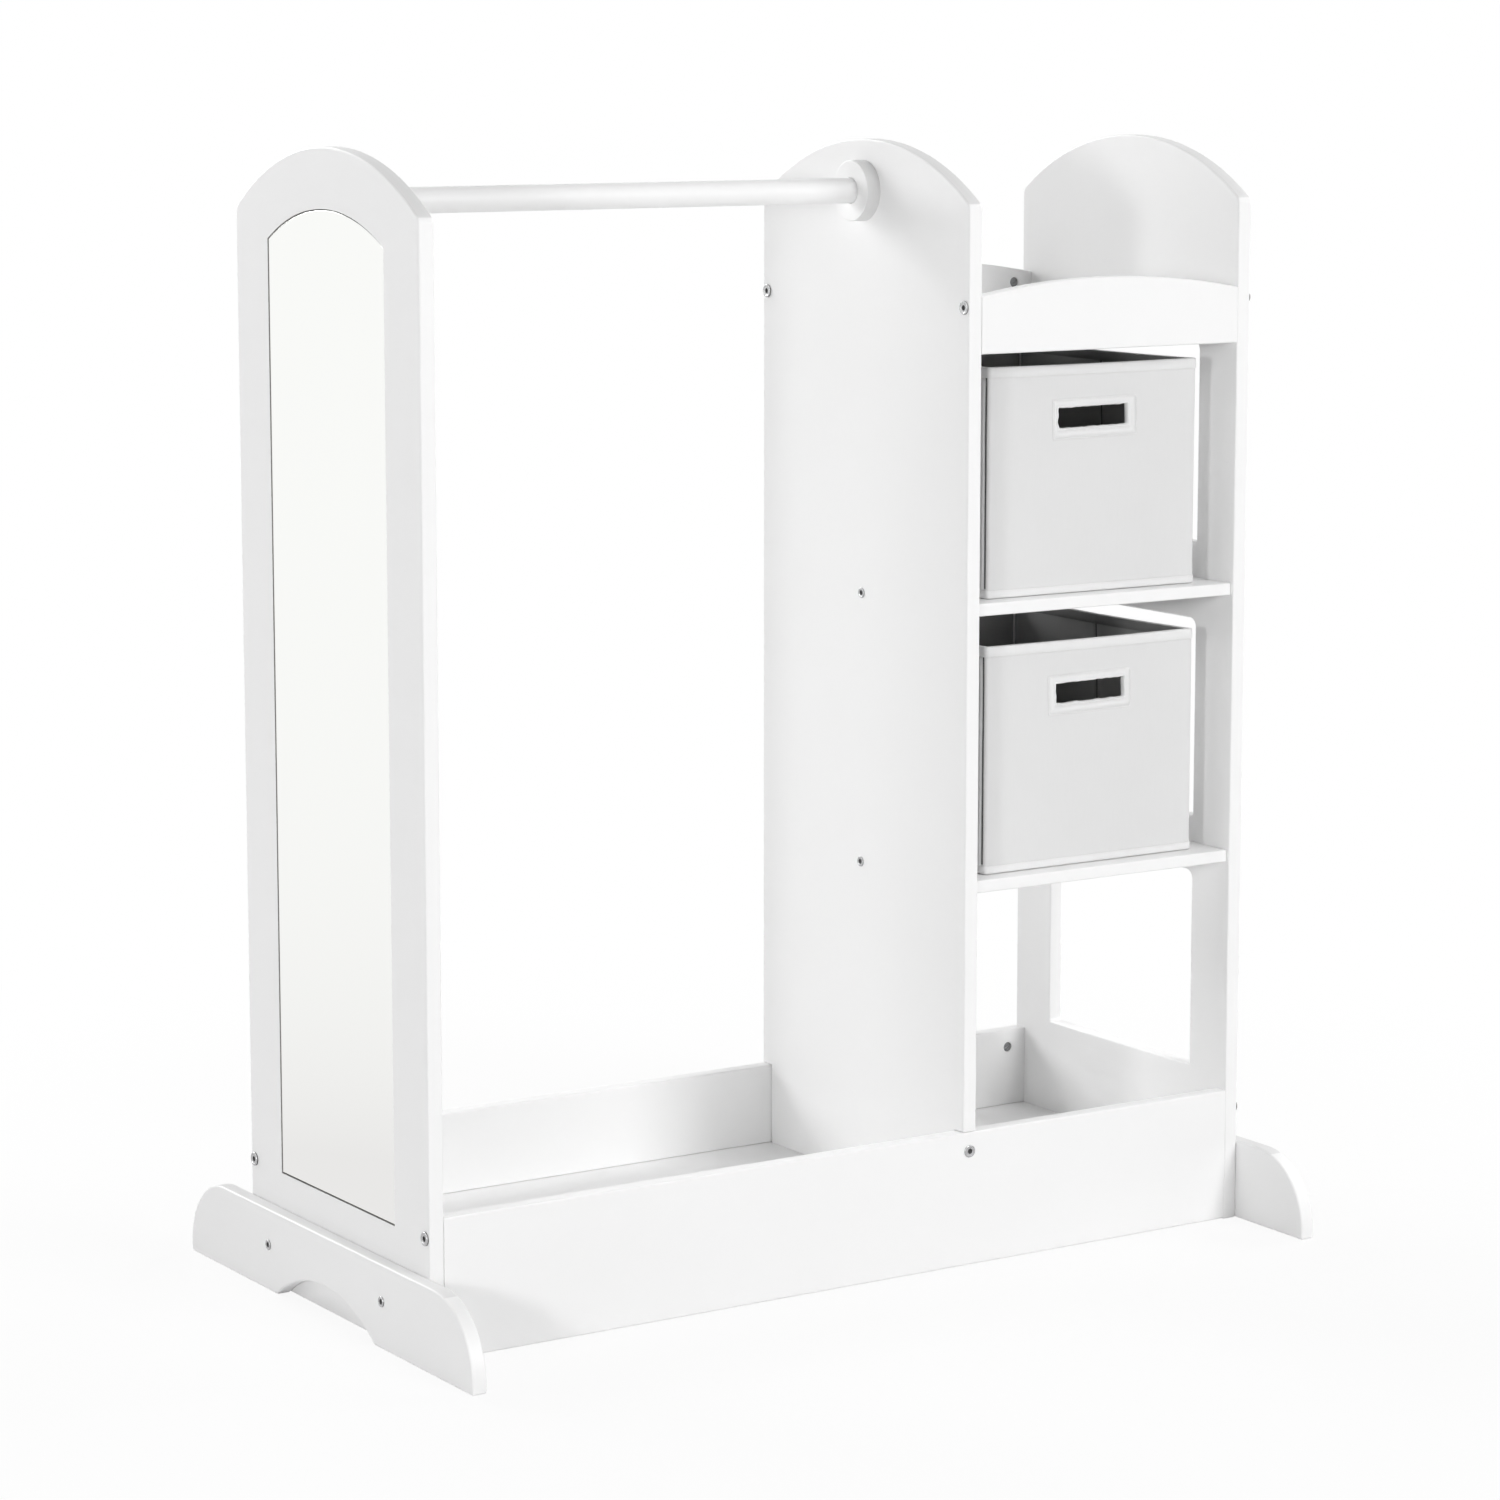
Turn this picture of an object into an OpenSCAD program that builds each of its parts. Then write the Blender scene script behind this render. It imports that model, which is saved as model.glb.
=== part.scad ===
// Child's dress-up storage unit: a hanging bay with a rod, a column of shelves
// with two fabric bins, and a tall mirror let into the outside of the left panel.
// Millimetres, +Z up, front towards -Y. The origin is on the floor, under the middle.

/* [Boards] */
// Depth of the three upright panels, front to back
panel_depth = 350; // [320:5:420]
// Thickness of the panels, rails, aprons and feet
board_t = 15; // [15:1:19]
// Thickness of the shelves and floor boards
shelf_t = 12; // [10:1:15]
// Height of the panels' straight edges above the aprons' underside
panel_over_apron = 138; // [120:2:200]
// Rise of the panels' rounded tops above their straight edges
panel_arch_rise = 58; // [50:2:100]

/* [Spaces] */
// Clear width of the hanging bay
bay_w = 562; // [450:2:800]
// Clear width on each side of a bin in the shelf column
beside_bin = 29; // [14:1:70]
// Clear height between the floor board and the lower shelf
low_space = 309; // [280:1:360]
// Height of the lower bin's space above the bin
over_lower_bin = 33; // [26:1:80]
// Height of the upper bin's space above the bin, up to the aprons' underside
over_upper_bin = 15; // [13:1:60]
// How far the two shelves stand back from the panels' edges
shelf_setback = 4.5; // [0:0.5:12]

/* [Base] */
// Height of the long rails
rail_h = 130; // [120:1:160]
// Gap under the long rails
rail_lift = 1; // [0:0.5:3]
// Height of the floor boards' underside above the floor
floor_board_h = 39; // [36:1:50]
// Depth of the grooves that hold the floor boards and the tray board
groove_depth = 6; // [4:0.5:8]

/* [Tray] */
// Height of the aprons at their ends
apron_end_h = 54; // [54:1:80]
// Rise of the aprons' arched tops at the middle
apron_rise = 14; // [6:1:24]
// Height of the tray board's underside above the aprons' underside
tray_lip = 10; // [8:1:12]

/* [Windows] */
// Width of the windows in the right panel
window_w = 233; // [160:1:250]
// Radius of the windows' upper corners
window_r = 9; // [3:1:20]
// Radius of the windows' lower corners
window_foot_r = 3; // [1:0.5:8]
// Height of the lowest window's sill above the floor board
low_sill = 95; // [85:1:130]
// Height of the middle window's sill above the lower shelf
mid_sill = 26; // [15:1:60]
// Height of the top window's sill above the upper shelf
top_sill = 35; // [15:1:60]
// Height of solid panel between the lowest window and the lower shelf
low_head = 17; // [10:1:40]
// Height of solid panel between the middle window and the upper shelf
mid_head = 29; // [10:1:50]
// Height of solid panel between the top window and the aprons' underside
top_head = 2; // [0:1:30]

/* [Mirror] */
// Width of the mirror glass
mirror_w = 220; // [150:2:260]
// Height of the mirror's bottom edge above the floor
mirror_z = 112; // [100:1:200]
// Height of solid panel above the mirror's rounded top
mirror_head = 56; // [45:1:120]
// Rise of the mirror's rounded top
mirror_rise = 29; // [15:1:60]
// Thickness of the mirror glass
glass_t = 3; // [2:0.5:5]
// Thickness of the adhesive pads behind the glass
pad_t = 1; // [0.5:0.25:2]
// Width of each adhesive pad
pad_w = 40; // [20:2:60]
// Gap around the glass in its recess
glass_gap = 1; // [0.5:0.25:2]
// How far the glass lies below the panel's face
glass_inset = 0.3; // [0:0.1:1]

/* [Hanging rod] */
// Diameter of the hanging rod
rod_d = 24; // [20:1:30]
// Height of the panels' tops above the middle of the rod
rod_below_top = 49; // [45:1:90]
// Diameter of the rod's flanges
flange_d = 58; // [50:1:70]
// Thickness of the rod's flanges
flange_t = 15; // [12:1:20]
// Thickness of the flange behind the rod's socket
flange_base = 4; // [3:0.5:6]
// Gap around the rod in its socket
socket_gap = 0.4; // [0.2:0.1:0.8]

/* [Feet] */
// Length of each foot, front to back
foot_len = 555; // [480:5:700]
// Height of each foot
foot_h = 78; // [70:1:90]
// Radius of the feet's rounded ends
foot_end_r = 70; // [30:2:70]
// Width of the arch under each foot, along the floor
foot_arch_w = 194; // [120:2:240]
// Height of the arch under each foot
foot_arch_h = 31; // [15:1:32]
// Distance between the two screws of a foot
foot_screw_gap = 224; // [220:2:300]
// Height of the foot screws above the floor
foot_screw_z = 44; // [42:1:55]

/* [Fasteners] */
// Diameter of the joint bolts
bolt_d = 6; // [5:0.5:8]
// Length of the joint bolts under their heads
bolt_len = 45; // [42:1:60]
// Diameter of the joint bolts' heads
bolt_head_d = 13; // [11:0.5:14]
// Height of the joint bolts' heads
bolt_head_t = 1.6; // [1:0.1:2.5]
// Diameter of the barrel nuts
nut_d = 10; // [9:0.5:11]
// Length of the barrel nuts
nut_len = 13; // [11:0.5:13.5]
// Distance from a board's end to the middle of its barrel nut
nut_from_end = 21.5; // [18:0.5:28]
// Distance of the rails' bolts below the rails' top edges
rail_bolt_drop = 18.5; // [15:0.5:30]
// Height of the aprons' bolts above the aprons' underside
apron_bolt_h = 43.5; // [42:0.5:46]
// Diameter of the wood screws
screw_d = 5; // [4:0.5:6]
// Diameter of the wood screws' heads
screw_head_d = 10; // [8:0.5:12]
// Height of the wood screws' heads
screw_head_t = 1; // [0.6:0.1:2]
// Diameter of the heads of the screws between the rails and the middle panel
divider_head_d = 12; // [10:0.5:13]
// How far a wood screw goes into the end of a board
screw_grip = 30; // [20:1:40]
// How far a wood screw goes into the face of a panel
face_grip = 10; // [6:1:11]
// Diameter of the dowels in the rails
rail_dowel_d = 8; // [6:1:8]
// Diameter of the dowels in the aprons and shelves
thin_dowel_d = 6; // [5:1:7]
// Length of the dowels
dowel_len = 30; // [24:1:40]
// How far a dowel goes into the face of a panel
dowel_grip = 10; // [6:1:12]
// Height of the rails' dowels above the floor
rail_dowel_z = 22; // [20:1:30]
// Height of the aprons' dowels above the aprons' underside
apron_dowel_h = 31; // [30:0.5:32]
// Distance of the shelves' dowels from the middle of the shelf
shelf_dowel_y = 120; // [60:5:130]

/* [Bins] */
// Width of a bin
bin_w = 245; // [220:1:320]
// Depth of a bin, front to back
bin_d = 290; // [240:5:305]
// Height of a bin
bin_h = 219; // [190:1:280]
// How far the bins' fronts stand back from the panels' front edges
bin_setback = 25; // [15:1:40]
// Turn of the upper bin on its shelf, in degrees
upper_turn = -0.7; // [-2:0.1:2]
// Turn of the lower bin on its shelf, in degrees
lower_turn = 0.4; // [-2:0.1:2]
// Radius of a bin's upright corners
bin_corner_r = 6; // [5:0.5:12]
// Thickness of the outer fabric
cover_t = 1.2; // [0.8:0.1:2]
// Thickness of the stiff boards inside the walls
stiff_t = 2; // [1.5:0.1:3]
// Thickness of the lining
lining_t = 0.8; // [0.6:0.1:1.5]
// Thickness of the loose board in a bin's bottom
base_t = 2.5; // [2:0.1:4]
// Height of the hem around a bin's top
hem_h = 10; // [6:0.5:16]
// Height of the band around a bin's bottom
band_h = 8; // [5:0.5:14]
// Thickness of the hem and the band
trim_t = 0.8; // [0.5:0.1:1.5]
// Width of the handle hole
handle_w = 78; // [60:1:100]
// Height of the handle hole
handle_h = 21; // [16:1:30]
// Border of the handle's frame beside the hole
frame_side = 9; // [5:0.5:12]
// Border of the handle's frame above and below the hole
frame_edge = 8.5; // [5:0.5:12]
// Thickness of the handle's frame
frame_t = 1.2; // [0.8:0.1:2]
// Distance from a bin's top to the middle of its handle
handle_drop = 50; // [40:1:70]

/* [Hidden] */
$fn = 180;

// Colours
paint = "#f5f5f3";
steel = "#8f9296";
glass = "#dfe5e6";
pad_grey = "#6f7072";
beech = "#d8b98c";
fabric = "#dcdcdb";
fabric_edge = "#ececea";
dark_fabric = "#4b4b4d";
grey_board = "#9b9a96";

// Clearances
cut = 1;             // overrun of a cut past the face that it opens
screw_fit = 0.05;    // around a screw, bolt thread or dowel in its hole
bolt_fit = 0.3;      // around a bolt where it passes through a panel
board_fit = 0.3;     // beside a board that drops in between others
groove_fit = 0.4;    // above a board in its groove, and at the groove's bottom
layer_fit = 0.1;     // between two layers of a bin's wall
shelf_fit = 0.3;     // under a bin
rod_gap = 2;         // from the rod's end to the bottom of its socket
bolt_end_gap = 3;    // from a bolt's end to the bottom of its hole
dowel_end_gap = 1;   // from a dowel's end to the bottom of its hole
base_fit = 1;        // around the loose board in a bin

// Screws: hexagon socket, and the head of a flange's screw
hex_af = 4;
hex_depth = 2;
flange_head_d = 9;

// Slot in the end of a barrel nut
slot_w = 1.4;
slot_depth = 1.2;
slot_turn = 25;

// Plan: X places of the upright panels' faces, and Y places of their edges
cubby_w = bin_w + 2 * beside_bin;
outer_w = 3 * board_t + bay_w + cubby_w;
left_x = -outer_w / 2;
bay_x0 = left_x + board_t;
bay_x1 = bay_x0 + bay_w;
cubby_x0 = bay_x1 + board_t;
cubby_x1 = cubby_x0 + cubby_w;
right_x = cubby_x1 + board_t;
divider_x = (bay_x1 + cubby_x0) / 2;
edge_y = panel_depth / 2;
rail_y = edge_y - board_t / 2;
inner_y = edge_y - board_t;

// Heights
mid_space = bin_h + over_lower_bin;
top_space = bin_h + over_upper_bin;
rail_top = rail_lift + rail_h;
rail_bolt_z = rail_top - rail_bolt_drop;
floor_top = floor_board_h + shelf_t;
lower_shelf_z = floor_top + low_space;
upper_shelf_z = lower_shelf_z + shelf_t + mid_space;
apron_z = upper_shelf_z + shelf_t + top_space;
apron_bolt_z = apron_z + apron_bolt_h;
apron_dowel_z = apron_z + apron_dowel_h;
tray_z = apron_z + tray_lip;
side_h = apron_z + panel_over_apron;
panel_top = side_h + panel_arch_rise;
rod_z = panel_top - rod_below_top;
shelf_zs = [lower_shelf_z, upper_shelf_z];
shelf_half_d = edge_y - shelf_setback;
recess_d = glass_inset + glass_t + pad_t;
board_half_d = inner_y + groove_depth - groove_fit;
hole_depth = bolt_len - board_t + bolt_end_gap;
dowel_hole = dowel_len - dowel_grip + dowel_end_gap;
socket_depth = flange_t - flange_base;

// ---------- shared shapes ----------

// A flat shape in Y and Z, made into a plate of thickness t from x onwards
module plate_x(x, t) {
    translate([x, 0, 0]) rotate([90, 0, 90]) linear_extrude(t) children();
}

// A flat shape in X and Z, made into a plate of thickness t from y onwards
module plate_y(y, t) {
    translate([0, y + t, 0]) rotate([90, 0, 0]) linear_extrude(t) children();
}

// A board given by its two opposite corners
module board(low, high) {
    translate(low) cube(high - low);
}

// A round bar or hole along X
module rod_x(x, y, z, d, len) {
    translate([x, y, z]) rotate([0, 90, 0]) cylinder(d = d, h = len);
}

// A round bar or hole along Y
module rod_y(x, y, z, d, len) {
    translate([x, y, z]) rotate([-90, 0, 0]) cylinder(d = d, h = len);
}

// A rectangle that stands at z with a circular arch on top, w wide
module arched(w, z, side, rise) {
    r = (w * w / 4 + rise * rise) / (2 * rise);
    translate([-w / 2, z]) square([w, side - z]);
    intersection() {
        translate([0, side + rise - r]) circle(r);
        translate([-w / 2, side - cut]) square([w, rise + 2 * cut]);
    }
}

// A rectangle centred on the origin with round corners
module round_rect(w, d, r) {
    square([w - 2 * r, d], center = true);
    square([w, d - 2 * r], center = true);
    for (x = [-1, 1], y = [-1, 1]) translate([x * (w / 2 - r), y * (d / 2 - r)]) circle(r);
}

// A screw or bolt along +X whose head lies just outside x = 0, with a hexagon socket
module fastener(d, len, head_d, head_t) {
    difference() {
        union() {
            rod_x(0, 0, 0, d, len);
            rotate([0, -90, 0]) cylinder(d1 = head_d, d2 = head_d - head_t, h = head_t);
        }
        translate([-head_t - cut, 0, 0]) rotate([0, 90, 0])
            cylinder(d = hex_af / cos(30), h = head_t + cut + hex_depth, $fn = 6);
    }
}

// Places a part made along +X at a face, pointing towards +X, or -X where way is negative
module face_in(x, y, z, way) {
    translate([x, y, z]) mirror([way < 0 ? 1 : 0, 0, 0]) children();
}

// ---------- upright panels ----------

module panel_shape() {
    arched(panel_depth, 0, side_h, panel_arch_rise);
}

// Blind dowel holes and bolt holes for the rails, in a side panel whose inner face is at x
module rail_holes(x, way) {
    for (y = [-rail_y, rail_y]) {
        rod_x(way > 0 ? x - board_t - cut : x - cut, y, rail_bolt_z, bolt_d + 2 * bolt_fit, board_t + 2 * cut);
        face_in(x, y, rail_dowel_z, -way) rod_x(-cut, 0, 0, rail_dowel_d + 2 * screw_fit, dowel_grip + cut);
    }
}

// Bolt and dowel holes for the aprons, in a panel whose face on the shelf column is at x
module apron_holes(x, way) {
    for (y = [-rail_y, rail_y]) {
        rod_x(way > 0 ? x - board_t - cut : x - cut, y, apron_bolt_z, bolt_d + 2 * bolt_fit, board_t + 2 * cut);
        face_in(x, y, apron_dowel_z, -way) rod_x(-cut, 0, 0, thin_dowel_d + 2 * screw_fit, dowel_grip + cut);
    }
}

// Screw and dowel holes for the two shelves, in a panel whose face on the column is at x
module shelf_holes(x, way) {
    for (z = shelf_zs) {
        rod_x(way > 0 ? x - board_t - cut : x - cut, 0, z + shelf_t / 2, screw_d + 2 * screw_fit, board_t + 2 * cut);
        for (y = [-shelf_dowel_y, shelf_dowel_y])
            face_in(x, y, z + shelf_t / 2, -way)
                rod_x(-cut, 0, 0, thin_dowel_d + 2 * screw_fit, dowel_grip + cut);
    }
}

// Pilot holes for the foot screws, in the outer face of a side panel at x
module foot_pilots(x, way) {
    for (y = [-foot_screw_gap / 2, foot_screw_gap / 2])
        face_in(x, y, foot_screw_z, way) rod_x(-cut, 0, 0, screw_d + 2 * screw_fit, face_grip + cut);
}

// Pilot hole for the screw of a rod flange, in the face of a panel at x
module flange_pilot(x, way) {
    face_in(x, 0, rod_z, way) rod_x(-cut, 0, 0, screw_d + 2 * screw_fit, face_grip + cut);
}

module mirror_shape(grow) {
    arched(mirror_w + 2 * grow, mirror_z - grow, panel_top - mirror_head - mirror_rise, mirror_rise + grow);
}

module left_panel() {
    color(paint) difference() {
        plate_x(left_x, board_t) panel_shape();
        plate_x(left_x - cut, recess_d + cut) mirror_shape(glass_gap);
        rail_holes(bay_x0, 1);
        foot_pilots(left_x, 1);
        flange_pilot(bay_x0, -1);
    }
}

module middle_panel() {
    color(paint) difference() {
        plate_x(bay_x1, board_t) panel_shape();
        for (y = [-edge_y - cut, inner_y - board_fit])
            board([bay_x1 - cut, y, -cut],
                  [cubby_x0 + cut, y + board_t + board_fit + cut, rail_top + board_fit]);
        for (way = [-1, 1])
            translate([divider_x, way * (inner_y - board_fit), rail_bolt_z]) rotate([way * 90, 0, 0])
                translate([0, 0, -cut]) cylinder(d = screw_d + 2 * screw_fit, h = screw_grip + cut);
        apron_holes(cubby_x0, 1);
        shelf_holes(cubby_x0, 1);
        flange_pilot(bay_x1, 1);
    }
}

// A window from z0 to z1 with round corners, wider ones at the top
module window_shape(z0, z1) {
    half = window_w / 2;
    translate([-half, z0 + window_foot_r]) square([window_w, z1 - z0 - window_foot_r - window_r]);
    translate([-half + window_foot_r, z0]) square([window_w - 2 * window_foot_r, z1 - z0 - window_r]);
    translate([-half + window_r, z1 - 2 * window_r]) square([window_w - 2 * window_r, 2 * window_r]);
    for (side = [-1, 1]) {
        translate([side * (half - window_foot_r), z0 + window_foot_r]) circle(window_foot_r);
        translate([side * (half - window_r), z1 - window_r]) circle(window_r);
    }
}

module right_panel() {
    color(paint) difference() {
        plate_x(cubby_x1, board_t) panel_shape();
        plate_x(cubby_x1 - cut, board_t + 2 * cut) {
            window_shape(floor_top + low_sill, lower_shelf_z - low_head);
            window_shape(lower_shelf_z + shelf_t + mid_sill, upper_shelf_z - mid_head);
            window_shape(upper_shelf_z + shelf_t + top_sill, apron_z - top_head);
        }
        rail_holes(cubby_x1, -1);
        apron_holes(cubby_x1, -1);
        shelf_holes(cubby_x1, -1);
        foot_pilots(right_x, -1);
    }
}

// ---------- boards across ----------

// End holes of a board that is bolted between x0 and x1: bolts, barrel nuts and dowels
module end_holes(x0, x1, bolt_z, dowel_z, dowel_d) {
    for (way = [-1, 1]) {
        x = way > 0 ? x0 : x1;
        face_in(x, 0, bolt_z, way) rod_x(-cut, 0, 0, bolt_d + 2 * screw_fit, hole_depth + cut);
        face_in(x, 0, dowel_z, way)
            rod_x(-cut, 0, 0, dowel_d + 2 * screw_fit, dowel_hole + cut);
        face_in(x, 0, bolt_z, way)
            rod_y(nut_from_end, -nut_len / 2 - screw_fit, 0, nut_d + 2 * screw_fit, nut_len + board_t);
    }
}

// The front rail, whose inner face looks towards +Y
module rail() {
    difference() {
        board([bay_x0, -edge_y, rail_lift], [cubby_x1, -inner_y, rail_top]);
        board([bay_x0 - cut, -inner_y - groove_depth, floor_board_h],
              [cubby_x1 + cut, -inner_y + cut, floor_top + groove_fit]);
        translate([0, -rail_y, 0]) end_holes(bay_x0, cubby_x1, rail_bolt_z, rail_dowel_z, rail_dowel_d);
        rod_y(divider_x, -edge_y - cut, rail_bolt_z, screw_d + 2 * screw_fit, board_t + 2 * cut);
    }
}

module front_rail() {
    color(paint) rail();
}

module back_rail() {
    color(paint) mirror([0, 1, 0]) rail();
}

module floor_board(x0, x1) {
    color(paint) board([x0 + board_fit, -board_half_d, floor_board_h], [x1 - board_fit, board_half_d, floor_top]);
}

module bay_floor() {
    floor_board(bay_x0, bay_x1);
}

module cubby_floor() {
    floor_board(cubby_x0, cubby_x1);
}

module shelf(z) {
    color(paint) difference() {
        board([cubby_x0, -shelf_half_d, z], [cubby_x1, shelf_half_d, z + shelf_t]);
        for (way = [-1, 1]) {
            x = way > 0 ? cubby_x0 : cubby_x1;
            face_in(x, 0, z + shelf_t / 2, way) rod_x(-cut, 0, 0, screw_d + 2 * screw_fit, screw_grip + cut);
            for (y = [-shelf_dowel_y, shelf_dowel_y])
                face_in(x, y, z + shelf_t / 2, way)
                    rod_x(-cut, 0, 0, thin_dowel_d + 2 * screw_fit, dowel_hole + cut);
        }
    }
}

module lower_shelf() {
    shelf(lower_shelf_z);
}

module upper_shelf() {
    shelf(upper_shelf_z);
}

module tray_board() {
    color(paint) board([cubby_x0 + board_fit, -board_half_d, tray_z],
                       [cubby_x1 - board_fit, board_half_d, tray_z + shelf_t]);
}

// The front apron, whose inner face looks towards +Y
module apron() {
    difference() {
        plate_y(-edge_y, board_t) translate([(cubby_x0 + cubby_x1) / 2, 0])
            arched(cubby_w, apron_z, apron_z + apron_end_h, apron_rise);
        board([cubby_x0 - cut, -inner_y - groove_depth, tray_z],
              [cubby_x1 + cut, -inner_y + cut, tray_z + shelf_t + groove_fit]);
        translate([0, -rail_y, 0]) end_holes(cubby_x0, cubby_x1, apron_bolt_z, apron_dowel_z, thin_dowel_d);
    }
}

module front_apron() {
    color(paint) apron();
}

module back_apron() {
    color(paint) mirror([0, 1, 0]) apron();
}

// ---------- mirror ----------

module mirror_glass() {
    color(glass) plate_x(left_x + glass_inset, glass_t) mirror_shape(0);
}

module mirror_pads() {
    pad_z0 = mirror_z + pad_w;
    pad_z1 = panel_top - mirror_head - mirror_rise - 2 * pad_w;
    color(pad_grey) for (y = [-1, 1], z = [pad_z0, (pad_z0 + pad_z1) / 2, pad_z1])
        translate([left_x + glass_inset + glass_t, y * mirror_w / 4 - pad_w / 2, z]) cube([pad_t, pad_w, pad_w]);
}

// ---------- hanging rod ----------

module hanging_rod() {
    inset = flange_base + rod_gap;
    color(paint) rod_x(bay_x0 + inset, 0, rod_z, rod_d, bay_w - 2 * inset);
}

// A flange on the panel face at x, with its socket facing away from the panel
module flange(x, way) {
    color(paint) face_in(x, 0, rod_z, way) difference() {
        rod_x(0, 0, 0, flange_d, flange_t);
        rod_x(flange_base, 0, 0, rod_d + 2 * socket_gap, socket_depth + cut);
        rod_x(-cut, 0, 0, screw_d + 2 * screw_fit, flange_base + 2 * cut);
    }
}

module left_rod_flange() {
    flange(bay_x0, 1);
}

module right_rod_flange() {
    flange(bay_x1, -1);
}

module flange_screws() {
    color(steel) {
        face_in(bay_x0 + flange_base, 0, rod_z, -1)
            fastener(screw_d, flange_base + face_grip, flange_head_d, screw_head_t);
        face_in(bay_x1 - flange_base, 0, rod_z, 1)
            fastener(screw_d, flange_base + face_grip, flange_head_d, screw_head_t);
    }
}

// ---------- feet ----------

// Outline of a foot in Y and Z: round ends, and an arch cut out of the floor edge
module foot_shape() {
    half = foot_len / 2;
    low = foot_h - foot_end_r;
    arch_r = (foot_arch_w * foot_arch_w / 4 + foot_arch_h * foot_arch_h) / (2 * foot_arch_h);
    difference() {
        union() {
            translate([-half, 0]) square([foot_len, low]);
            translate([-half + foot_end_r, 0]) square([foot_len - 2 * foot_end_r, foot_h]);
            intersection() {
                for (side = [-1, 1]) translate([side * (half - foot_end_r), low]) circle(foot_end_r);
                translate([-half, 0]) square([foot_len, foot_h]);
            }
        }
        translate([0, foot_arch_h - arch_r]) circle(arch_r);
    }
}

module foot(x) {
    color(paint) difference() {
        plate_x(x, board_t) foot_shape();
        for (y = [-foot_screw_gap / 2, foot_screw_gap / 2])
            rod_x(x - cut, y, foot_screw_z, screw_d + 2 * screw_fit, board_t + 2 * cut);
    }
}

module left_foot() {
    foot(left_x - board_t);
}

module right_foot() {
    foot(right_x);
}

// ---------- fasteners ----------

module foot_screws() {
    color(steel) for (way = [-1, 1], y = [-foot_screw_gap / 2, foot_screw_gap / 2])
        face_in(way > 0 ? left_x - board_t : right_x + board_t, y, foot_screw_z, way)
            fastener(screw_d, board_t + face_grip, screw_head_d, screw_head_t);
}

module rail_bolts() {
    color(steel) for (way = [-1, 1], y = [-rail_y, rail_y])
        face_in(way > 0 ? left_x : right_x, y, rail_bolt_z, way)
            fastener(bolt_d, bolt_len, bolt_head_d, bolt_head_t);
}

module apron_bolts() {
    color(steel) for (way = [-1, 1], y = [-rail_y, rail_y])
        face_in(way > 0 ? bay_x1 : right_x, y, apron_bolt_z, way)
            fastener(bolt_d, bolt_len, bolt_head_d, bolt_head_t);
}

// A barrel nut across a bolt at x, with its slotted end on the inner side of the board
module barrel_nut(x, y, z) {
    translate([x, y, z]) mirror([0, y > 0 ? 1 : 0, 0]) difference() {
        rod_y(0, -nut_len / 2, 0, nut_d, nut_len);
        rod_x(-nut_d, 0, 0, bolt_d + 2 * screw_fit, 2 * nut_d);
        rotate([0, slot_turn, 0]) translate([-nut_d, nut_len / 2 - slot_depth, -slot_w / 2])
            cube([2 * nut_d, slot_depth + cut, slot_w]);
    }
}

module rail_barrel_nuts() {
    color(steel) for (x = [bay_x0 + nut_from_end, cubby_x1 - nut_from_end], y = [-rail_y, rail_y])
        barrel_nut(x, y, rail_bolt_z);
}

module apron_barrel_nuts() {
    color(steel) for (x = [cubby_x0 + nut_from_end, cubby_x1 - nut_from_end], y = [-rail_y, rail_y])
        barrel_nut(x, y, apron_bolt_z);
}

module shelf_screws() {
    color(steel) for (way = [-1, 1], z = shelf_zs)
        face_in(way > 0 ? bay_x1 : right_x, 0, z + shelf_t / 2, way)
            fastener(screw_d, board_t + screw_grip, screw_head_d, screw_head_t);
}

// The screws through the rails' faces into the edges of the middle panel
module divider_screws() {
    color(steel) for (turn = [90, -90])
        translate([divider_x, turn > 0 ? -edge_y : edge_y, rail_bolt_z]) rotate([0, 0, turn])
            fastener(screw_d, board_t + screw_grip, divider_head_d, screw_head_t);
}

// Dowels in both ends of a pair of boards
module end_dowels(x0, x1, z, d) {
    color(beech) for (x = [x0 - dowel_grip, x1 + dowel_grip - dowel_len], y = [-rail_y, rail_y])
        rod_x(x, y, z, d, dowel_len);
}

module rail_dowels() {
    end_dowels(bay_x0, cubby_x1, rail_dowel_z, rail_dowel_d);
}

module apron_dowels() {
    end_dowels(cubby_x0, cubby_x1, apron_dowel_z, thin_dowel_d);
}

module shelf_dowels() {
    color(beech) for (z = shelf_zs, y = [-shelf_dowel_y, shelf_dowel_y],
                      x = [cubby_x0 - dowel_grip, cubby_x1 + dowel_grip - dowel_len])
        rod_x(x, y, z + shelf_t / 2, thin_dowel_d, dowel_len);
}

// ---------- bins ----------

// Depth of each layer's faces below the outside of the cover
stiff_in = cover_t + layer_fit;
lining_in = stiff_in + stiff_t + layer_fit;
wall_t = lining_in + lining_t;
trim_out = layer_fit + trim_t;
fold_gap = 3;        // between the two halves of a side wall's board
corner_gap = 8;      // from a bin's corner to the end of its wall board
sleeve_t = 1;        // wall of the handle's frame inside the hole
cap_z = bin_h - trim_t;
wall_top = cap_z - layer_fit;
handle_z = bin_h - handle_drop;
bin_x = (cubby_x0 + cubby_x1) / 2;
bin_y = -edge_y + bin_setback + bin_d / 2;

// Places a bin's layers on the shelf whose underside is at z
module on_shelf(z, turn) {
    translate([bin_x, bin_y, z + shelf_t + shelf_fit]) rotate([0, 0, turn]) children();
}

// A block with the outline of a bin, grown or shrunk, between two heights
module bin_block(grow, z0, z1) {
    translate([0, 0, z0]) linear_extrude(z1 - z0)
        round_rect(bin_w + 2 * grow, bin_d + 2 * grow, max(bin_corner_r + grow, 1));
}

// The handle hole through the front wall, grown by a margin
module handle_hole(grow) {
    translate([-handle_w / 2 - grow, -bin_d / 2 - cut, handle_z - handle_h / 2 - grow])
        cube([handle_w + 2 * grow, wall_t + 2 * cut, handle_h + 2 * grow]);
}

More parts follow.
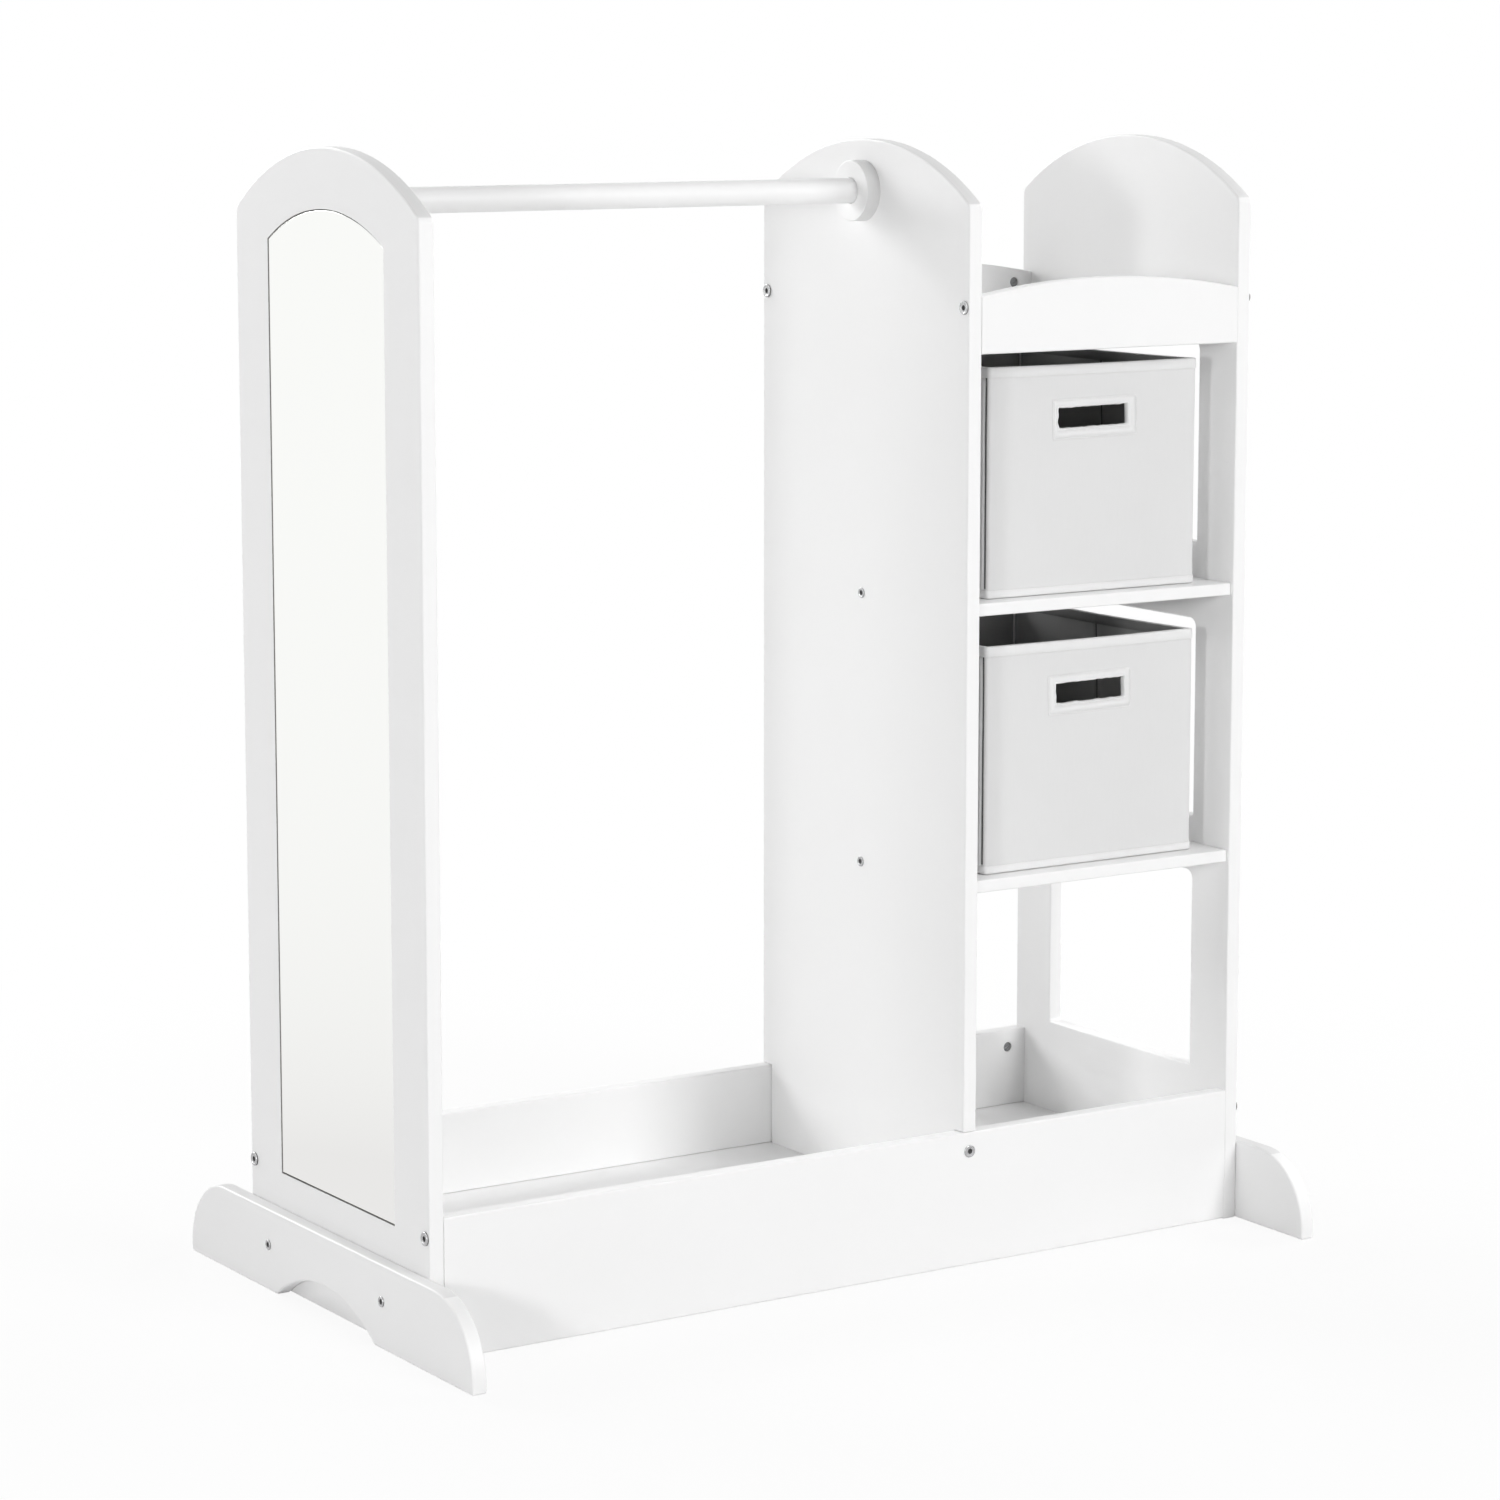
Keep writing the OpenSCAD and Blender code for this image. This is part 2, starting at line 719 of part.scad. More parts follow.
module bin_cover() {
    color(fabric) difference() {
        bin_block(0, 0, wall_top);
        bin_block(-cover_t, cover_t, bin_h);
        handle_hole(sleeve_t + layer_fit);
    }
}

module bin_wall_boards() {
    x1 = bin_w / 2 - stiff_in;
    y1 = bin_d / 2 - stiff_in;
    half_x = bin_w / 2 - corner_gap;
    half_y = bin_d / 2 - corner_gap;
    color(grey_board) difference() {
        for (way = [-1, 1]) {
            translate([-half_x, way > 0 ? y1 - stiff_t : -y1, stiff_in]) cube([2 * half_x, stiff_t, wall_top - stiff_in]);
            for (end = [fold_gap / 2, -half_y])
                translate([way > 0 ? x1 - stiff_t : -x1, end, stiff_in])
                    cube([stiff_t, half_y - fold_gap / 2, wall_top - stiff_in]);
        }
        handle_hole(sleeve_t + layer_fit);
    }
}

module bin_lining() {
    color(dark_fabric) difference() {
        bin_block(-lining_in, stiff_in, wall_top);
        bin_block(-wall_t, stiff_in + lining_t, bin_h);
        handle_hole(sleeve_t + layer_fit);
    }
}

module bin_base_board() {
    base_in = wall_t + base_fit;
    base_z = stiff_in + lining_t + layer_fit;
    color(dark_fabric) bin_block(-base_in, base_z, base_z + base_t);
}

// The binding that folds over the top edge of all the wall's layers
module bin_hem() {
    color(fabric_edge) difference() {
        bin_block(trim_out, bin_h - hem_h, bin_h);
        difference() {
            bin_block(layer_fit, bin_h - hem_h - cut, cap_z);
            bin_block(-wall_t - layer_fit, bin_h - hem_h - 2 * cut, cap_z + cut);
        }
        bin_block(-wall_t - trim_out, bin_h - hem_h - 2 * cut, bin_h + cut);
    }
}

module bin_band() {
    color(fabric_edge) difference() {
        bin_block(trim_out, 0, band_h);
        bin_block(layer_fit, -cut, band_h + cut);
    }
}

// The frame around the handle hole: a border on the cover, and a sleeve through the wall
module bin_handle() {
    out_y = -bin_d / 2 - layer_fit - frame_t;
    color(fabric_edge) difference() {
        union() {
            translate([-handle_w / 2 - frame_side, out_y, handle_z - handle_h / 2 - frame_edge])
                cube([handle_w + 2 * frame_side, frame_t, handle_h + 2 * frame_edge]);
            translate([-handle_w / 2 - sleeve_t, out_y, handle_z - handle_h / 2 - sleeve_t])
                cube([handle_w + 2 * sleeve_t, frame_t + layer_fit + wall_t, handle_h + 2 * sleeve_t]);
        }
        translate([-handle_w / 2, out_y - cut, handle_z - handle_h / 2])
            cube([handle_w, frame_t + layer_fit + wall_t + 2 * cut, handle_h]);
    }
}

left_panel();
middle_panel();
right_panel();
front_rail();
back_rail();
bay_floor();
cubby_floor();
lower_shelf();
upper_shelf();
tray_board();
front_apron();
back_apron();
mirror_glass();  // mirror
mirror_pads();
hanging_rod();
left_rod_flange();
right_rod_flange();
flange_screws();
left_foot();
right_foot();
foot_screws();
rail_bolts();
rail_barrel_nuts();
apron_bolts();
apron_barrel_nuts();
shelf_screws();
divider_screws();
rail_dowels();
apron_dowels();
shelf_dowels();
on_shelf(upper_shelf_z, upper_turn) bin_cover();  // upper_bin_cover
on_shelf(upper_shelf_z, upper_turn) bin_wall_boards();  // upper_bin_wall_boards
on_shelf(upper_shelf_z, upper_turn) bin_lining();  // upper_bin_lining
on_shelf(upper_shelf_z, upper_turn) bin_base_board();  // upper_bin_base_board
on_shelf(upper_shelf_z, upper_turn) bin_hem();  // upper_bin_hem
on_shelf(upper_shelf_z, upper_turn) bin_band();  // upper_bin_band
on_shelf(upper_shelf_z, upper_turn) bin_handle();  // upper_bin_handle
on_shelf(lower_shelf_z, lower_turn) bin_cover();  // lower_bin_cover
on_shelf(lower_shelf_z, lower_turn) bin_wall_boards();  // lower_bin_wall_boards
on_shelf(lower_shelf_z, lower_turn) bin_lining();  // lower_bin_lining
on_shelf(lower_shelf_z, lower_turn) bin_base_board();  // lower_bin_base_board
on_shelf(lower_shelf_z, lower_turn) bin_hem();  // lower_bin_hem
on_shelf(lower_shelf_z, lower_turn) bin_band();  // lower_bin_band
on_shelf(lower_shelf_z, lower_turn) bin_handle();  // lower_bin_handle
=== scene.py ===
"""The looks of a child's dress-up storage unit, in metres: +Z up, front towards -Y, floor at Z = 0.

Painted boards, a mirror let into the left panel, a hanging rod, and two fabric bins on the shelves.
"""

import logging
import math
from collections.abc import Callable, Iterable, Mapping, Sequence
from dataclasses import dataclass, field
from enum import Enum

import bmesh
import bpy
from bmesh.types import BMEdge, BMFace, BMVert
from mathutils import Matrix, Vector, noise


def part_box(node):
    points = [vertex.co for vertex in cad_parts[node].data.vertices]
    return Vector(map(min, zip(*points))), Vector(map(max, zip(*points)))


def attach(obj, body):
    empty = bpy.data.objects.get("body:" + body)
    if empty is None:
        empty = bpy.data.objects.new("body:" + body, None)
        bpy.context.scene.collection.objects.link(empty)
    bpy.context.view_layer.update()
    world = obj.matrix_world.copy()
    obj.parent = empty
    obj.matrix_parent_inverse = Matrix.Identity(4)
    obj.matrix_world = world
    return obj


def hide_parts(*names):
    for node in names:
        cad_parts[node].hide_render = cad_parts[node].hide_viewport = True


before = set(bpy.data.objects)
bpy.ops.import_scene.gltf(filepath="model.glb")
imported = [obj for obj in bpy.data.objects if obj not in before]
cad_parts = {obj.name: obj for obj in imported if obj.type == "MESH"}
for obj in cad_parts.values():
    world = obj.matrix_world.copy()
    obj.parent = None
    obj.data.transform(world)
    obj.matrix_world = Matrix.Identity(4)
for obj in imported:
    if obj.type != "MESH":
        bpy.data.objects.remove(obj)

LOG = logging.getLogger("storage_unit")

Colour = tuple[float, float, float]
Setting = float | int | str | bool | Sequence[float] | None

UP = Vector((0.0, 0.0, 1.0))
RIGHT = Vector((1.0, 0.0, 0.0))
BACK = Vector((0.0, 1.0, 0.0))
CORNER_ANGLE = math.radians(40)  # edges that turn more than this are corners, and the rest are curves
MERGE = 1e-6  # points closer than this are one point
NEAR = 1e-5  # a point this close to a plane lies in it


class Body(Enum):
    """The bodies of the unit: its fixed carcass, and the two bins that slide out."""

    CARCASS = "frame"
    UPPER_BIN = "upper_bin"
    LOWER_BIN = "lower_bin"


class Way(Enum):
    """The two ways along a line, as a factor."""

    LESS = -1.0
    MORE = 1.0


@dataclass(frozen=True)
class Span:
    """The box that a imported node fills, with short names for its sides."""

    low: Vector
    high: Vector

    @classmethod
    def of(cls, node: str) -> "Span":
        """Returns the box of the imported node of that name."""
        return cls(*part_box(node))

    @property
    def size(self) -> Vector:
        """The box's width, depth and height."""
        return self.high - self.low

    @property
    def middle(self) -> Vector:
        """The box's middle."""
        return (self.low + self.high) / 2

    def inside(self, way: Way) -> float:
        """Returns Y of the inner face of a board on that side of the unit."""
        return self.high.y if way is Way.LESS else self.low.y

    def outside(self, way: Way) -> float:
        """Returns Y of the outer face of a board on that side of the unit."""
        return self.low.y if way is Way.LESS else self.high.y


# ---------------------------------------------------------------- shaders


class Sock:
    """A number in a node tree, on which the usual operators add Math nodes."""

    def __init__(self, nodes: "Nodes", socket: bpy.types.NodeSocket) -> None:
        """Wraps one output socket of a tree."""
        self.nodes = nodes
        self.socket = socket

    def math(self, operation: str, *values: "Sock | float") -> "Sock":
        """Adds a Math node.

        Args:
            operation: the node's operation, such as "ADD".
            values: what goes into its sockets, in order.

        Returns:
            The node's result.
        """
        return self.nodes.number("ShaderNodeMath", {"operation": operation}, dict(enumerate(values)))

    def __add__(self, other: "Sock | float") -> "Sock":
        """Returns the sum."""
        return self.math("ADD", self, other)

    def __radd__(self, other: float) -> "Sock":
        """Returns the sum, with the number first."""
        return self.math("ADD", other, self)

    def __sub__(self, other: "Sock | float") -> "Sock":
        """Returns the difference."""
        return self.math("SUBTRACT", self, other)

    def __rsub__(self, other: float) -> "Sock":
        """Returns the number less this value."""
        return self.math("SUBTRACT", other, self)

    def __mul__(self, other: "Sock | float") -> "Sock":
        """Returns the product."""
        return self.math("MULTIPLY", self, other)

    def __rmul__(self, other: float) -> "Sock":
        """Returns the product, with the number first."""
        return self.math("MULTIPLY", other, self)

    def __truediv__(self, other: "Sock | float") -> "Sock":
        """Returns the quotient."""
        return self.math("DIVIDE", self, other)

    def __pow__(self, other: float) -> "Sock":
        """Returns the power."""
        return self.math("POWER", self, other)

    def __abs__(self) -> "Sock":
        """Returns the value without its sign."""
        return self.math("ABSOLUTE", self)

    def sine(self) -> "Sock":
        """Returns the sine."""
        return self.math("SINE", self)

    def floor(self) -> "Sock":
        """Returns the whole number below."""
        return self.math("FLOOR", self)

    def above(self, limit: float) -> "Sock":
        """Returns 1 where the value is above the limit, and 0 elsewhere."""
        return self.math("GREATER_THAN", self, limit)

    def smooth(self, low: float, high: float) -> "Sock":
        """Returns a soft step from 0 at low to 1 at high."""
        values = {"Value": self, "From Min": low, "From Max": high}
        return self.nodes.number("ShaderNodeMapRange", {"interpolation_type": "SMOOTHSTEP"}, values)


class Nodes:
    """A node tree, and the one method that adds its nodes."""

    def __init__(self, tree: bpy.types.NodeTree) -> None:
        """Takes over a tree and empties it."""
        self.tree = tree
        self.tree.nodes.clear()

    def node(
        self, kind: str, settings: Mapping[str, Setting], values: Mapping[str | int, object]
    ) -> bpy.types.Node:
        """Adds a node.

        Args:
            kind: the node's type.
            settings: its own properties, which are set first.
            values: what each input socket gets: a number, a colour, a socket or a Sock.

        Returns:
            The new node.
        """
        made = self.tree.nodes.new(kind)
        for name, value in settings.items():
            setattr(made, name, value)
        for name, value in values.items():
            self.feed(made.inputs[name], value)
        return made

    def number(
        self,
        kind: str,
        settings: Mapping[str, Setting],
        values: Mapping[str | int, object],
        output: str | int = 0,
    ) -> Sock:
        """Adds a node, and returns one of its outputs as a number."""
        return Sock(self, self.node(kind, settings, values).outputs[output])

    def feed(self, target: bpy.types.NodeSocket, value: object) -> None:
        """Links a socket to an input, or sets the input to a constant."""
        source = value.socket if isinstance(value, Sock) else value
        if isinstance(source, bpy.types.NodeSocket):
            self.tree.links.new(source, target)
        elif isinstance(source, tuple) and len(source) == 3 and target.type == "RGBA":
            target.default_value = (*source, 1.0)
        else:
            target.default_value = source

    def rays(self, *kinds: str) -> list[Sock]:
        """Returns which kinds of ray see the surface, such as "Camera"."""
        path = self.node("ShaderNodeLightPath", {}, {})
        return [Sock(self, path.outputs[f"Is {kind} Ray"]) for kind in kinds]

    def mix(
        self, share: Sock, low: bpy.types.NodeSocket, high: bpy.types.NodeSocket
    ) -> bpy.types.NodeSocket:
        """Returns a shader from low, where share is 0, to high, where it is 1."""
        return self.node("ShaderNodeMixShader", {}, {0: share, 1: low, 2: high}).outputs[0]


class Shader(Nodes):
    """One material's node tree, around a Principled shader."""

    def __init__(self, name: str) -> None:
        """Makes an empty material with a Principled shader on its output."""
        self.material = bpy.data.materials.new(name)
        self.material.use_nodes = True
        super().__init__(self.material.node_tree)
        self.surface = self.node("ShaderNodeBsdfPrincipled", {}, {})
        self.output = self.node("ShaderNodeOutputMaterial", {}, {"Surface": self.surface.outputs[0]})

    def set(self, **values: object) -> None:
        """Sets the Principled shader's sockets, named with underscores for spaces."""
        for name, value in values.items():
            self.feed(self.surface.inputs[name.replace("_", " ").title().replace("Ior", "IOR")], value)

    def place(self, output: str = "Object") -> bpy.types.NodeSocket:
        """Returns the Object or UV coordinates."""
        return self.node("ShaderNodeTexCoord", {}, {}).outputs[output]

    def stretched(self, scale: tuple[float, float, float], output: str = "Object") -> bpy.types.NodeSocket:
        """Returns the coordinates scaled along each axis."""
        return self.node("ShaderNodeMapping", {}, {"Vector": self.place(output), "Scale": scale}).outputs[0]

    def noise(self, scale: float, detail: float = 2.0, where: bpy.types.NodeSocket | None = None) -> Sock:
        """Returns a noise from 0 to 1.

        Args:
            scale: its size, in spots a metre.
            detail: how many finer layers it has.
            where: the coordinates it reads, or the piece's own place.

        Returns:
            The noise.
        """
        values = {"Vector": where or self.place(), "Scale": scale, "Detail": detail}
        return self.number("ShaderNodeTexNoise", {}, values)

    def blend(self, share: Sock, low: Colour, high: Colour) -> bpy.types.NodeSocket:
        """Returns a colour from low, where share is 0, to high, where it is 1."""
        values = {0: share, 6: low, 7: high}
        return self.node("ShaderNodeMix", {"data_type": "RGBA", "clamp_factor": True}, values).outputs[2]

    def bump(self, height: Sock, depth: float) -> bpy.types.NodeSocket:
        """Returns a normal raised by a height from 0 to 1, at a depth in metres."""
        values = {"Height": height, "Distance": depth, "Strength": 1.0}
        return self.node("ShaderNodeBump", {}, values).outputs[0]


def tone(level: float, warmth: float = 0.0) -> Colour:
    """Returns a grey of that level, a little warmer or, below 0, cooler."""
    return (level * (1 + warmth), level, level * (1 - warmth))


@dataclass(frozen=True)
class Finish:
    """A finish of the unit: its name, and the name of the material slot that it belongs to, which nothing
    here reads.

    In every finish, the sizes of spots, marks and grain are counts a metre, and depths are in metres.
    """

    name: str
    slot: str

    def paint(self, shader: Shader) -> None:
        """Sets up the finish's nodes."""
        raise NotImplementedError

    def material(self) -> bpy.types.Material:
        """Returns the finish's material, made on first use."""
        found = bpy.data.materials.get(self.name)
        if found is None:
            shader = Shader(self.name)
            self.paint(shader)
            found = shader.material
        return found


@dataclass(frozen=True)
class SatinPaint(Finish):
    """Sprayed satin lacquer on board: nearly even, with a faint orange peel."""

    level: float = 0.905
    unevenness: float = 0.008
    clouds: float = 5.0
    gloss: float = 0.40
    gloss_change: float = 0.10
    smears: float = 23.0
    dimples: float = 520.0
    peel_depth: float = 0.000012
    ior: float = 1.46

    def paint(self, shader: Shader) -> None:
        """Clouds the colour slightly, breaks up the gloss and adds the peel."""
        dark, light = tone(self.level - self.unevenness, 0.001), tone(self.level + self.unevenness)
        shader.set(
            base_color=shader.blend(shader.noise(self.clouds, 3.0), dark, light),
            roughness=self.gloss + (shader.noise(self.smears, 4.0) - 0.5) * self.gloss_change,
            normal=shader.bump(shader.noise(self.dimples), self.peel_depth),
            ior=self.ior,
        )


@dataclass(frozen=True)
class MirrorSilver(Finish):
    """The silvered glass, with a trace of haze where it was wiped."""

    colour: Colour = (0.945, 0.952, 0.930)
    brighter: float = 0.004
    wipes: float = 9.0
    clean: float = 0.012
    haze: float = 0.018
    haze_ends: tuple[float, float] = (0.45, 0.8)  # where the haze starts and is full, in the wiping

    def paint(self, shader: Shader) -> None:
        """Makes a clean metal layer under faint wiping marks."""
        wiped = shader.noise(self.wipes, 5.0, shader.stretched((1.0, 1.0, 0.25)))
        shader.set(
            base_color=shader.blend(wiped, self.colour, tuple(self.brighter + part for part in self.colour)),
            metallic=1.0,
            roughness=self.clean + wiped.smooth(*self.haze_ends) * self.haze,
        )


@dataclass(frozen=True)
class GroundGlass(Finish):
    """The ground edge of the mirror's glass, cool grey-green."""

    dark: Colour = (0.36, 0.41, 0.39)
    light: Colour = (0.50, 0.55, 0.53)
    scratches: float = 900.0
    depth: float = 0.00003
    gloss: float = 0.30
    gloss_change: float = 0.25
    ior: float = 1.52

    def paint(self, shader: Shader) -> None:
        """Makes the fine marks of grinding."""
        marks = shader.noise(self.scratches, 3.0, shader.stretched((1.0, 1.0, 0.1)))
        shader.set(
            base_color=shader.blend(marks, self.dark, self.light),
            roughness=self.gloss + marks * self.gloss_change,
            normal=shader.bump(marks, self.depth),
            ior=self.ior,
        )


@dataclass(frozen=True)
class PlatedSteel(Finish):
    """Plated steel, brighter or duller, with fine tool marks."""

    level: float = 0.58
    darker: float = 0.07
    lighter: float = 0.05
    gloss: float = 0.26
    gloss_change: float = 0.18
    spots: float = 700.0
    depth: float = 0.00002

    def paint(self, shader: Shader) -> None:
        """Makes a metal whose gloss is broken up by tool marks."""
        marks = shader.noise(self.spots, 3.0)
        dark, light = tone(self.level - self.darker, -0.012), tone(self.level + self.lighter, -0.004)
        shader.set(
            base_color=shader.blend(marks, dark, light),
            metallic=1.0,
            roughness=self.gloss + (marks - 0.5) * self.gloss_change,
            normal=shader.bump(marks, self.depth),
        )


@dataclass(frozen=True)
class Beech(Finish):
    """Turned beech, with short dark flecks along its grain."""

    dark: Colour = (0.42, 0.26, 0.13)
    light: Colour = (0.66, 0.47, 0.28)
    grain: float = 260.0
    flecks: float = 1500.0
    fleck_ends: tuple[float, float] = (0.62, 0.72)
    fleck_dark: float = 0.4
    depth: float = 0.00005
    gloss: float = 0.62
    gloss_change: float = 0.15

    def paint(self, shader: Shader) -> None:
        """Draws the grain along X, in which the dowels lie."""
        grain = shader.noise(self.grain, 4.0, shader.stretched((0.08, 1.0, 1.0)))
        fleck = shader.noise(self.flecks, 1.0, shader.stretched((0.2, 1.0, 1.0))).smooth(*self.fleck_ends)
        shader.set(
            base_color=shader.blend(grain - fleck * self.fleck_dark, self.dark, self.light),
            roughness=self.gloss + fleck * self.gloss_change,
            normal=shader.bump(grain, self.depth),
        )


@dataclass(frozen=True)
class FoamTape(Finish):
    """Grey adhesive foam with open cells."""

    cells: float = 1400.0
    depth: float = 0.00015
    dark: float = 0.10
    light: float = 0.19
    gloss: float = 0.92

    def paint(self, shader: Shader) -> None:
        """Scatters the foam's cells over its faces."""
        values = {"Vector": shader.place(), "Scale": self.cells}
        hollow = shader.number("ShaderNodeTexVoronoi", {}, values, "Distance")
        shader.set(
            base_color=shader.blend(hollow, tone(self.dark), tone(self.light)),
            roughness=self.gloss,
            normal=shader.bump(hollow, self.depth),
        )


class Weave(Enum):
    """How a cloth is made: pitch of its threads in metres, and depth between them."""

    CANVAS = (0.00062, 0.00006)
    TAPE = (0.00050, 0.00007)
    LINING = (0.00080, 0.00005)


@dataclass(frozen=True)
class Cloth(Finish):
    """A plain woven cloth that follows its piece's own UV map, which is in metres."""

    level: float = 0.70
    weave: Weave = Weave.CANVAS
    rough: float = 0.82
    rough_change: float = 0.10
    sheen: float = 0.12
    shift: float = 0.045
    slubs: float = 60.0
    clouds: float = 11.0
    thread_roundness: float = 0.6
    thread_dip: float = 0.45  # how far a thread sinks where it passes under another
    slub_height: float = 0.6
    colour_shares: tuple[float, float, float] = (0.35, 0.30, 0.35)  # of the threads, slubs and clouds

    def paint(self, shader: Shader) -> None:
        """Crosses the two sets of threads, and varies their colour a little along each thread."""
        pitch, depth = self.weave.value
        across = shader.node("ShaderNodeSeparateXYZ", {}, {"Vector": shader.place("UV")})
        warp, weft = (Sock(shader, across.outputs[index]) * (1 / pitch) for index in range(2))
        pair = (warp.floor() + weft.floor()) * 0.5
        odd = (pair - pair.floor()).above(0.25)
        ribs = [abs((threads * math.pi).sine()) for threads in (warp, weft)]
        along_warp, along_weft = (
            one ** self.thread_roundness * (1 - self.thread_dip + self.thread_dip * other)
            for one, other in (ribs, ribs[::-1])
        )
        thread = odd * along_warp + (1 - odd) * along_weft
        slub = shader.noise(self.slubs, 3.0, shader.stretched((9.0, 0.6, 1.0), "UV"))
        cloud = shader.noise(self.clouds, 3.0, shader.place("UV"))
        of_thread, of_slub, of_cloud = self.colour_shares
        value = thread * of_thread + slub * of_slub + cloud * of_cloud
        low, high = self.level * (1 - self.shift), self.level * (1 + self.shift)
        shader.set(
            base_color=shader.blend(value, tone(low), tone(high)),
            roughness=self.rough + (slub - 0.5) * self.rough_change,
            normal=shader.bump(thread + slub * self.slub_height, depth),
            sheen_weight=self.sheen,
            sheen_roughness=0.5,
        )


@dataclass(frozen=True)
class GreyBoard(Finish):
    """Pulp board with short fibres."""

    fibres: float = 900.0
    depth: float = 0.00008
    dark: Colour = tone(0.24, 0.02)
    light: Colour = tone(0.40, 0.03)
    gloss: float = 0.88

    def paint(self, shader: Shader) -> None:
        """Mixes light and dark fibres."""
        fibres = shader.noise(self.fibres, 4.0, shader.stretched((1.0, 1.0, 0.4)))
        shader.set(
            base_color=shader.blend(fibres, self.dark, self.light),
            roughness=self.gloss,
            normal=shader.bump(fibres, self.depth),
        )


PAINT = SatinPaint("satin_white_paint", "white_paint")
# the white paint made darker, a painted shade on the panels' arched tops, the flange rims and the feet's tops
SHADED_EDGE_PAINT = SatinPaint("satin_white_painted_shade", "white_paint", level=0.79, gloss=0.50)
SILVER = MirrorSilver("mirror_silver", "mirror_glass")
GLASS_EDGE = GroundGlass("mirror_ground_edge", "mirror_glass")
FOAM = FoamTape("mirror_foam_tape", "foam_pad")
SCREW_STEEL = PlatedSteel("nickel_screws", "screw_steel", level=0.52)
# dark steel, a painted shade in the screws' sockets and a painted shadow round their heads
SOCKET_SHADE_STEEL = PlatedSteel("screw_painted_shade", "screw_steel", level=0.08, gloss=0.55)
NUT_STEEL = PlatedSteel("zinc_barrel_nuts", "nut_steel", level=0.30, gloss=0.38, spots=420.0)
DOWEL_BEECH = Beech("dowel_beech_grain", "dowel_beech")
BIN_CANVAS = Cloth("bin_canvas", "bin_fabric", level=0.745)
BIN_TAPE = Cloth("bin_edge_tape", "bin_trim", level=0.83, weave=Weave.TAPE)
HANDLE_TAPE = Cloth("bin_handle_tape", "handle_frame", level=0.83, weave=Weave.TAPE)
BIN_LINING = Cloth(
    "bin_dark_lining", "bin_lining", level=0.36, weave=Weave.LINING, rough=0.34, sheen=0.05, shift=0.10
)
# near-black cloth for the creases of the canvas and the fold of the lining, a painted shade
BIN_CREASE_SHADE = Cloth("bin_painted_crease_shade", "bin_lining", level=0.12, weave=Weave.LINING, rough=0.80, sheen=0.0)
BIN_BINDING = Cloth("bin_dark_binding", "bin_trim", level=0.26, weave=Weave.TAPE, rough=0.60, sheen=0.05)
BIN_BOARD = GreyBoard("bin_pulp_board", "bin_board")
# grey board on the walls and floor of the mirror's recess, a painted shadow in the gap round the glass
RECESS_SHADE_BOARD = GreyBoard("mirror_recess_painted_shade", "white_paint")


# ---------------------------------------------------------------- the bench


@dataclass(frozen=True)
class Ring:
    """A stage of a turned piece: its radius, and how far along the axis it lies."""

    radius: float
    at: float
    hexagon: bool = False
    finish: int = 0  # which of the piece's finishes it has, from the ring before


def facing(at: Vector, along: Vector) -> Matrix:
    """Returns the matrix that takes the origin to a point and turns Z along a direction."""
    return Matrix.Translation(at) @ along.to_track_quat("Z", "Y").to_matrix().to_4x4()


def parts_of(faces: Iterable[BMFace]) -> list[BMVert | BMEdge | BMFace]:
    """Returns faces with all their edges and points, each once, in a steady order."""
    return list(dict.fromkeys(part for face in faces for part in (face, *face.edges, *face.verts)))


